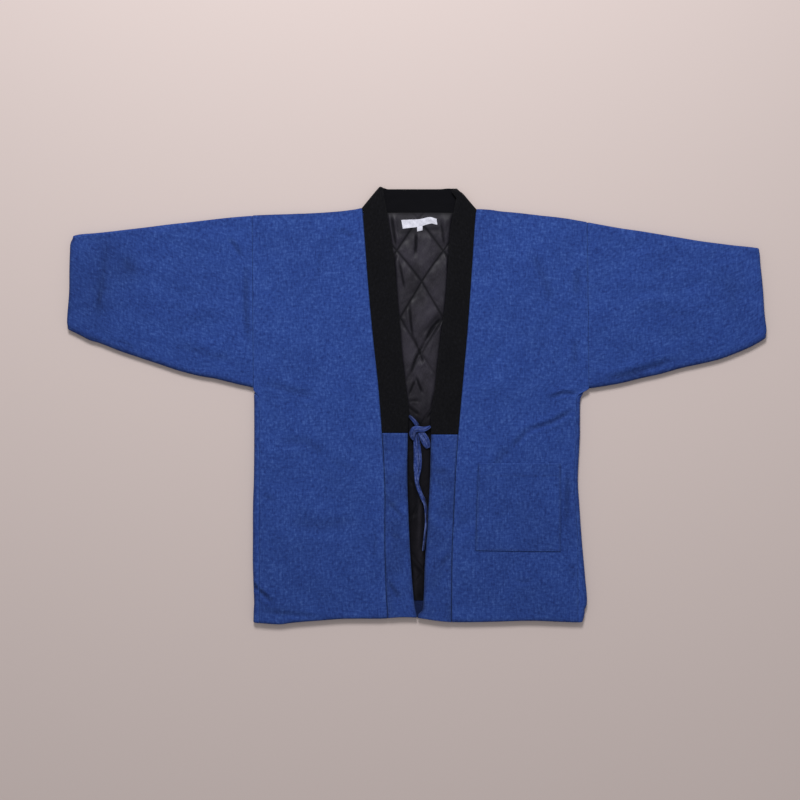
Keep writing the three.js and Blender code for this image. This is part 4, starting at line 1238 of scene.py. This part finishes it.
def label_piece():
    u = spread(*DIVIDED["label"])[None, :]
    v = spread(*DIVIDED["label_across"])[:, None]
    length, height, mean_height = LABEL_SIZE.values()
    crinkle = 0.35 * ripples(u * length, v * height, SEED["label"], 13, stretch=1.2)
    curl = 0.9 * smoothstep(u, 0.6, 0.9) * smoothstep(v, 0.2, 1)
    relief = crinkle * smoothstep(np.minimum(u, 1 - u), 0, 0.06) + curl
    from_edge = np.minimum(from_ends(u, length), from_ends(v, mean_height))
    return woven_strip("label", *label_point(u, v), from_edge, relief)


def tab_piece():
    across = spread(TAB["width"], TAB_SPACING)[None, :]
    down = spread(TAB["length"], TAB_SPACING)[::-1][:, None]
    x = TAB["x"] + (across - 0.5) * TAB["width"] + 0 * down
    (start_x, _), (end_x, _) = LABEL["bottom"]
    u = (x - start_x) / (end_x - start_x)
    x, y = label_point(u, 0 * u)
    y = y + TAB["rise"] - down * TAB["length"]
    from_edge = np.minimum(from_ends(across, TAB["width"]), from_ends(down, TAB["length"]))
    relief = 0.5 * np.sin(down * 3.0) + 0.15 * ripples(x, y, SEED["tab"], 8)
    return woven_strip("size_tab", x, y, from_edge, relief)


def tie_line(name):
    """Along a tie: distances, places, the way across its width, its width's share and its lean."""
    rows = dict(TIES[name], k=np.arange(len(TIES[name]["x"]), dtype=float))
    read = {column: through(rows, "k", column) for column in TIES[name]}
    dense, step = np.linspace(0, rows["k"][-1], 400), 0.05
    lengths = run_lengths(points(*(read[axis](dense) for axis in "xyz")))
    along = spread(lengths[-1], TIE_SPACING) * lengths[-1]
    k = np.interp(along, lengths, dense)
    near = (k - step, k, k + step)
    before, centre, after = (points(*(read[axis](at) for axis in "xyz")) for at in near)
    ahead = unit((after - before) * (1 - UP))
    lean = read["lean"](k)[:, None]
    aside = np.cross(UP, ahead)
    across = aside * np.cos(np.radians(lean)) - UP * np.sin(np.radians(lean))
    return along[:, None], centre, across, read["width"](k)[:, None], lean


def tie_piece(name):
    """A strip of folded cloth along its table of places, with soft creases along its length."""
    along, centre, across, full, lean = tie_line(name)
    width = TIE_WIDTH * full
    share = spread(*DIVIDED["tie_across"])[None, :]
    middle = centre[:, None, :] - across[:, None, :] * ((share - 0.5) * width)[..., None]
    normal = surface_normals(middle)
    from_side = from_ends(share, width)
    from_end = np.minimum(along, along[-1] - along)
    half = TIE_WALL / 2
    rim = round_edge(from_side, 0.9) * round_edge(from_end, 0.9)
    bunched = np.clip(1.1 - full, 0, 0.6)
    place = share * width
    seed = SEED["tie"] + len(name)
    depth = 0.3 + 0.9 * bunched
    folds = depth * ripples(place, along, seed, 4.6, stretch=8)
    ripple = 0.14 * ripples(along, place, seed + 1, 12)
    sewn = -0.3 * bell(from_side - 1.6, 0.7)
    turned = share - TIE_TURN - 0.05 * ripples(along, 0 * place, seed + 2, 40)
    overlap = 0.75 * smoothstep(turned, -0.06, 0.02) - 0.5 * bell(turned, 0.07)
    camber = (0.45 + 1.1 * bunched) * (1 - (2 * share - 1) ** 2)
    relief = (folds + ripple + sewn + overlap) * inside((from_end, 3), (from_side, 1.2))
    out = rim * np.maximum(half + relief + camber, 0.3)
    inner = rim * np.maximum(half - 0.5 * relief, 0.25)
    if np.sum(normal[..., 2]) < 0:
        out, inner = inner, out
    # Painted shade on the side face of a strip seen on edge, in its folded-over troughs, at its edges and
    # along the tie
    upright = smoothstep(np.abs(lean), 20, 60)
    upper_edge = fade((1 - share) * width, 1.6)
    leaning = upright * (1 - upper_edge)
    trough = 0.4 * bell(turned + 0.03, 0.07) + 0.3 * bell(folds + 0.5, 0.3)
    own = np.interp(along / along[-1], TIE_TONES[name]["share"], TIE_TONES[name]["shade"])
    shade = 0.72 * leaning + trough + own + 0.45 * (1 - upright) * bell(from_side, 1)
    # Painted highlights along the fold crests, where the tie's tone is below zero, and on the upper edge of
    # a strip seen on edge
    crests = smoothstep(folds / depth, 0.5, 1.5) + bell(turned - 0.1, 0.07)
    lit = np.clip(-own, 0, 0.3) * bell(share - 0.5, 0.3)
    wear_and_highlight = (crests + 2.5 * lit) * (1 - leaning) + upright * upper_edge
    return cloth(name, middle, normal, out, inner, np.clip(wear_and_highlight, 0, 1), np.clip(shade, 0, 1))


def stitches(name, runs, kind):
    """One mesh of small rounded threads along each run of places, half sunk in the cloth."""
    pitch, length, radius = STITCHES[kind].values()
    rings = ((-0.5, 0.25), (-0.32, 0.85), (0.32, 0.85), (0.5, 0.25))
    sides = 6
    near = 0.6
    made = []
    for run in runs:
        lengths = run_lengths(run)
        places = np.arange(pitch / 2, lengths[-1], pitch)
        centres = on_run(run, lengths, places)
        ahead = unit(on_run(run, lengths, places + near) - on_run(run, lengths, places - near))
        side = unit(np.cross(ahead, UP))
        top = np.cross(side, ahead)
        thread = []
        for at, size in rings:
            for angle in np.arange(sides) * math.pi / 3:
                outward = side * math.cos(angle) + top * math.sin(angle)
                thread.append(centres + ahead * at * length + radius * size * outward)
        made.append(np.stack(thread, axis=1))
    vertices = np.concatenate(made)
    faces = []
    for ring in range(len(rings) - 1):
        for k in range(sides):
            a, b = ring * sides + k, ring * sides + (k + 1) % sides
            faces.append((a, b, b + sides, a + sides))
    last = sides * (len(rings) - 1)
    for base, turn in ((0, 1), (last, -1)):
        for cap in ((0, 3, 2, 1), (0, 5, 4, 3)):
            faces.append(tuple(base + k for k in cap)[::turn])
    each = len(rings) * sides * np.arange(len(vertices))[:, None, None]
    vertices = vertices.reshape(-1, 3)
    return mesh_object(name, vertices, (np.array(faces) + each).reshape(-1, 4), vertices[:, :2] * MM)


def pocket_runs():
    """The pocket's sewn edge down both sides and along the bottom, and its top hem."""
    right, bottom = (POCKET_SEWN / size for size in POCKET_SIZE)
    left, top = 1 - right, 0.99
    hem = 1 - POCKET_HEM / POCKET_SIZE[1]
    legs = [
        ((right, top), (right, bottom)), ((right, bottom), (left, bottom)),
        ((left, bottom), (left, top)), ((right, hem), (left, hem)),
    ]
    runs = []
    for start, end in legs:
        u, v = (lerp(a, b, np.linspace(0, 1, 160)) for a, b in zip(start, end))
        x, y = on_patch(POCKET, u, v)
        runs.append(points(x, y, pocket_height(x, y, u, v)))
    return runs


def quilt_runs():
    """The sewn lines of the quilting, where they show between the bands."""
    runs = []
    y = np.linspace(LINING["hem"] + 3, LINING["neck"] - 3, 700)
    for family in (0, 1):
        for line in range(-8, 9):
            x = np.full_like(y, QUILT_CROSSING[0])
            for _ in range(12):
                x = x - (quilt_shares(x, y)[family] - line) * 2 * DIAMOND[0]
            shown = (x > free_x["right"](y) - 4) & (x < free_x["left"](y) + 4)
            if shown.sum() > 12:
                runs.append(points(x, y, LINING_Z + lining_height(x, y) + 0.02)[shown])
    return runs


def add(tree, kind, inputs=(), **settings):
    """A node with its settings and inputs; an input is a socket to link or a plain value."""
    made = tree.nodes.new(kind)
    for key, value in settings.items():
        setattr(made, key, value)
    for key, value in dict(inputs).items():
        if isinstance(value, bpy.types.NodeSocket):
            tree.links.new(value, made.inputs[key])
        else:
            made.inputs[key].default_value = value
    return made


def math_node(tree, operation, *values):
    return add(tree, "ShaderNodeMath", enumerate(values), operation=operation).outputs[0]


def weighted(tree, *parts):
    """The sum of several values, each times its weight."""
    products = [math_node(tree, "MULTIPLY", value, weight) for value, weight in parts]
    return reduce(lambda total, product: math_node(tree, "ADD", total, product), products)


def attribute(tree, name):
    return add(tree, "ShaderNodeAttribute", attribute_name=name).outputs["Fac"]


def scaled(tree, source, scale, **inputs):
    """Inputs of a texture with its own scale on each axis, in features for each metre."""
    vector = add(tree, "ShaderNodeMapping", {"Vector": source, "Scale": (*scale, 1)}).outputs[0]
    return {"Vector": vector, "Scale": 1.0, **inputs}


def noise(tree, source, scale, detail=2.0, rough=0.5):
    inputs = scaled(tree, source, scale, Detail=detail, Roughness=rough)
    return add(tree, "ShaderNodeTexNoise", inputs).outputs["Fac"]


def threads(tree, source, scale, distortion, direction):
    """Bands of thread, so many for each metre."""
    inputs = scaled(tree, source, (scale, scale), Distortion=distortion, Detail=1.0)
    waves = add(tree, "ShaderNodeTexWave", inputs, wave_type="BANDS", bands_direction=direction)
    return waves.outputs["Fac"]


def mix(tree, share, first, second):
    return add(tree, "ShaderNodeMix", {0: share, 6: first, 7: second}, data_type="RGBA").outputs[2]


def ramp(tree, value, low, high):
    """A share from 0 to 1 as a value goes from low to high."""
    inputs = {"Value": value, "From Min": low, "From Max": high}
    return add(tree, "ShaderNodeMapRange", inputs, interpolation_type="SMOOTHSTEP").outputs[0]


def between(tree, share, low, high):
    """A value from low to high as a share goes from 0 to 1."""
    return add(tree, "ShaderNodeMapRange", {"Value": share, "To Min": low, "To Max": high}).outputs[0]


def rgb(red, green, blue):
    """A colour from its 8-bit sRGB parts."""
    parts = [value / 255 for value in (red, green, blue)]
    return (*[p / 12.92 if p <= 0.04045 else ((p + 0.055) / 1.055) ** 2.4 for p in parts], 1)


def plain_material(name, **values):
    """A material with a plain value on each named socket of its shader, and its shader."""
    material = bpy.data.materials.new(name)
    material.use_nodes = True
    shader = material.node_tree.nodes["Principled BSDF"]
    for socket, value in values.items():
        shader.inputs[socket.replace("_", " ")].default_value = value
    return material, shader


def finish_material(tree, shader, colour, height, strength, relief):
    """Links a colour, darkened toward a deep colour where the piece's shade attribute paints shade, and a
    relief in millimetres.
    """
    # The colour of the painted shade
    deep = (0.0035, 0.0035, 0.005, 1)
    tree.links.new(mix(tree, attribute(tree, "shade"), colour, deep), shader.inputs["Base Color"])
    bump = add(tree, "ShaderNodeBump", {"Height": height, "Strength": strength, "Distance": relief * MM})
    tree.links.new(bump.outputs[0], shader.inputs["Normal"])


def cloth_material(
    name, dark, base, light, thread, slub, relief, roughness=0.9, sheen=0.1, specular=0.25, lighten_by=0.35
):
    """Woven cloth: warp and weft threads, slubs along the warp, mottling, edges lightened partly where
    rubbed pale and partly as painted highlight, and painted shade.
    """
    material, shader = plain_material(
        name, Roughness=roughness, Sheen_Weight=sheen, Sheen_Roughness=0.5, Specular_IOR_Level=specular
    )
    tree = material.node_tree
    uv = add(tree, "ShaderNodeUVMap", uv_map="cloth").outputs[0]
    slubs = noise(tree, uv, slub, 3.0, 0.6)
    weft = noise(tree, uv, (slub[1] * 1.3, slub[0] * 0.8))
    speckle = noise(tree, uv, (205, 170))
    mottle = noise(tree, uv, (26, 17), 3.0, 0.55)
    twill = threads(tree, uv, thread, 0.6, "DIAGONAL")
    warp = threads(tree, uv, thread * 1.6, 1.2, "X")
    tone = weighted(tree, (slubs, 0.28), (weft, 0.22), (speckle, 0.36), (mottle, 0.15), (twill, 0.1))
    dark, base, light = (rgb(*parts) for parts in (dark, base, light))
    lower = mix(tree, ramp(tree, tone, 0.41, 0.57), dark, base)
    colour = mix(tree, ramp(tree, tone, 0.56, 0.74), lower, light)
    # Lightening toward the light colour: partly rubbed pale cloth, partly painted highlight
    highlight_and_wear = math_node(tree, "MULTIPLY", attribute(tree, "wear_and_highlight"), ramp(tree, slubs, 0.40, 0.62))
    colour = mix(tree, math_node(tree, "MULTIPLY", highlight_and_wear, lighten_by), colour, light)
    height = weighted(tree, (twill, 0.45), (warp, 0.35), (slubs, 1.2), (speckle, 0.8))
    finish_material(tree, shader, colour, height, 0.8, relief)
    return material


def satin_material(name, dark, light):
    """Thin filament satin: fine threads, a soft gloss and faint uneven tone."""
    material, shader = plain_material(name, Sheen_Weight=0.03, Sheen_Roughness=0.35)
    tree = material.node_tree
    uv = add(tree, "ShaderNodeUVMap", uv_map="cloth").outputs[0]
    filaments = threads(tree, uv, 2200, 1.5, "DIAGONAL")
    fine = noise(tree, uv, (700, 200), 2.0, 0.6)
    cloud = noise(tree, uv, (22, 14), 3.0, 0.5)
    tone = weighted(tree, (cloud, 0.6), (fine, 0.4))
    colour = mix(tree, ramp(tree, tone, 0.35, 0.68), rgb(*dark), rgb(*light))
    # Less gloss where shade is painted, so the painted shade stays dark
    gloss = between(tree, attribute(tree, "shade"), 0.2, 0.04)
    tree.links.new(gloss, shader.inputs["Specular IOR Level"])
    tree.links.new(between(tree, fine, 0.42, 0.56), shader.inputs["Roughness"])
    finish_material(tree, shader, colour, weighted(tree, (filaments, 0.4), (fine, 0.8)), 0.5, 0.04)
    return material


# Threads and slubs for each metre, and the relief of the cloth in millimetres
COTTON = {"thread": 950, "slub": (420, 60), "relief": 0.16, "sheen": 0.03}
SEWING = {"thread": 3000, "slub": (2000, 800), "relief": 0.05}
BLUE = cloth_material("blue_cotton", (30, 49, 111), (42, 68, 138), (69, 99, 168), specular=0.1, **COTTON)
BAND_BLUE = cloth_material(
    "band_cotton", (30, 48, 107), (42, 67, 135), (68, 96, 160), specular=0.1, **COTTON
)
# The ties' pale colour, strongly mixed in, paints their highlights
TIE_BLUE = cloth_material(
    "tie_cotton", (28, 43, 96), (41, 61, 126), (98, 114, 172), specular=0.15, lighten_by=0.75, **COTTON
)
BLACK = cloth_material(
    "black_cotton", (10, 10, 13), (15, 15, 18), (23, 23, 27), thread=1250, slub=(500, 140), relief=0.08,
    roughness=0.95, sheen=0.02, specular=0.08,
)
SATIN = satin_material("lining_satin", (28, 26, 33), (47, 44, 54))
WHITE = cloth_material(
    "label_tape", (182, 182, 196), (208, 208, 221), (226, 226, 238), thread=1700, slub=(900, 300),
    relief=0.05, roughness=0.6, specular=0.3,
)
BLUE_THREAD = cloth_material(
    "blue_thread", (22, 36, 84), (28, 44, 98), (40, 60, 118), roughness=0.7, **SEWING
)
BLACK_THREAD = cloth_material(
    "black_thread", (10, 10, 12), (14, 14, 16), (22, 22, 26), roughness=0.6, **SEWING
)


def sew(piece, material, nodes=()):
    """Gives a piece its material and its place in the jacket."""
    piece.data.materials.append(material)
    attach(piece, "root")
    if nodes:
        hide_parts(*nodes)
    return piece


back = sew(back_piece(), BLUE, ["back_panel"])
fronts = {side: sew(front_piece(side), BLUE, ["front_" + side]) for side in OUTWARD}
sleeves = {side: sew(sleeve_piece(side), BLUE, ["sleeve_" + side]) for side in OUTWARD}
collar = sew(collar_piece(), BLACK, ["collar"])
bands = {side: sew(band_piece(side), BAND_BLUE, ["band_" + side]) for side in OUTWARD}
pocket = sew(pocket_piece(), BLUE, ["pocket"])
lining = sew(lining_piece(), SATIN, ["lining_back"])
label = sew(label_piece(), WHITE, ["label"])
tab = sew(tab_piece(), WHITE, ["size_tab"])
ties = {name: sew(tie_piece(name), TIE_BLUE, [name]) for name in TIES}
hem_thread = {
    name: sew(stitches(name + "_hem_stitches", [run], "hem"), BLUE_THREAD)
    for name, run in sewn_runs.items()
}
pocket_thread = sew(stitches("pocket_stitches", pocket_runs(), "pocket"), BLUE_THREAD)
quilt_thread = sew(stitches("quilt_stitches", quilt_runs(), "quilt"), BLACK_THREAD)

# Camera, light and floor
CAMERA = {"x": -32, "y": 11.6, "height": 2161, "lens": 50, "sensor": 36}
KEY_LIGHT = {"place": (-0.25, 2.4, 2.2), "size": 1.0, "power": 88}
SKY = {"colour": (1, 1, 1, 1), "strength": 0.42}
FLOOR = {"reach": 12, "colour": (0.59, 0.50, 0.48, 1)}


def make_camera():
    camera = bpy.data.objects.new("camera", bpy.data.cameras.new("camera"))
    camera.data.lens = CAMERA["lens"]
    camera.data.sensor_width = CAMERA["sensor"]
    camera.location = (CAMERA["x"] * MM, CAMERA["y"] * MM, CAMERA["height"] * MM)
    bpy.context.collection.objects.link(camera)
    bpy.context.scene.camera = camera


def make_key_light():
    lamp = bpy.data.objects.new("key", bpy.data.lights.new("key", "AREA"))
    lamp.data.shape = "DISK"
    lamp.data.size = KEY_LIGHT["size"]
    lamp.data.energy = KEY_LIGHT["power"]
    lamp.location = KEY_LIGHT["place"]
    lamp.rotation_mode = "QUATERNION"
    lamp.rotation_quaternion = (-Vector(KEY_LIGHT["place"])).to_track_quat("-Z", "Y")
    bpy.context.collection.objects.link(lamp)


def make_floor():
    mesh = bpy.data.meshes.new("floor")
    corners = [(-1, -1), (1, -1), (1, 1), (-1, 1)]
    places = [(x * FLOOR["reach"], y * FLOOR["reach"], 0) for x, y in corners]
    mesh.from_pydata(places, [], [(0, 1, 2, 3)])
    floor = bpy.data.objects.new("floor", mesh)
    bpy.context.collection.objects.link(floor)
    material, _ = plain_material(
        "floor", Base_Color=FLOOR["colour"], Roughness=0.95, Specular_IOR_Level=0.1
    )
    mesh.materials.append(material)


def make_world():
    world = bpy.data.worlds.new("studio")
    world.use_nodes = True
    sky = world.node_tree.nodes["Background"]
    sky.inputs["Color"].default_value = SKY["colour"]
    sky.inputs["Strength"].default_value = SKY["strength"]
    bpy.context.scene.world = world
    bpy.context.scene.view_settings.view_transform = "Standard"


make_camera()
make_key_light()
make_floor()
make_world()
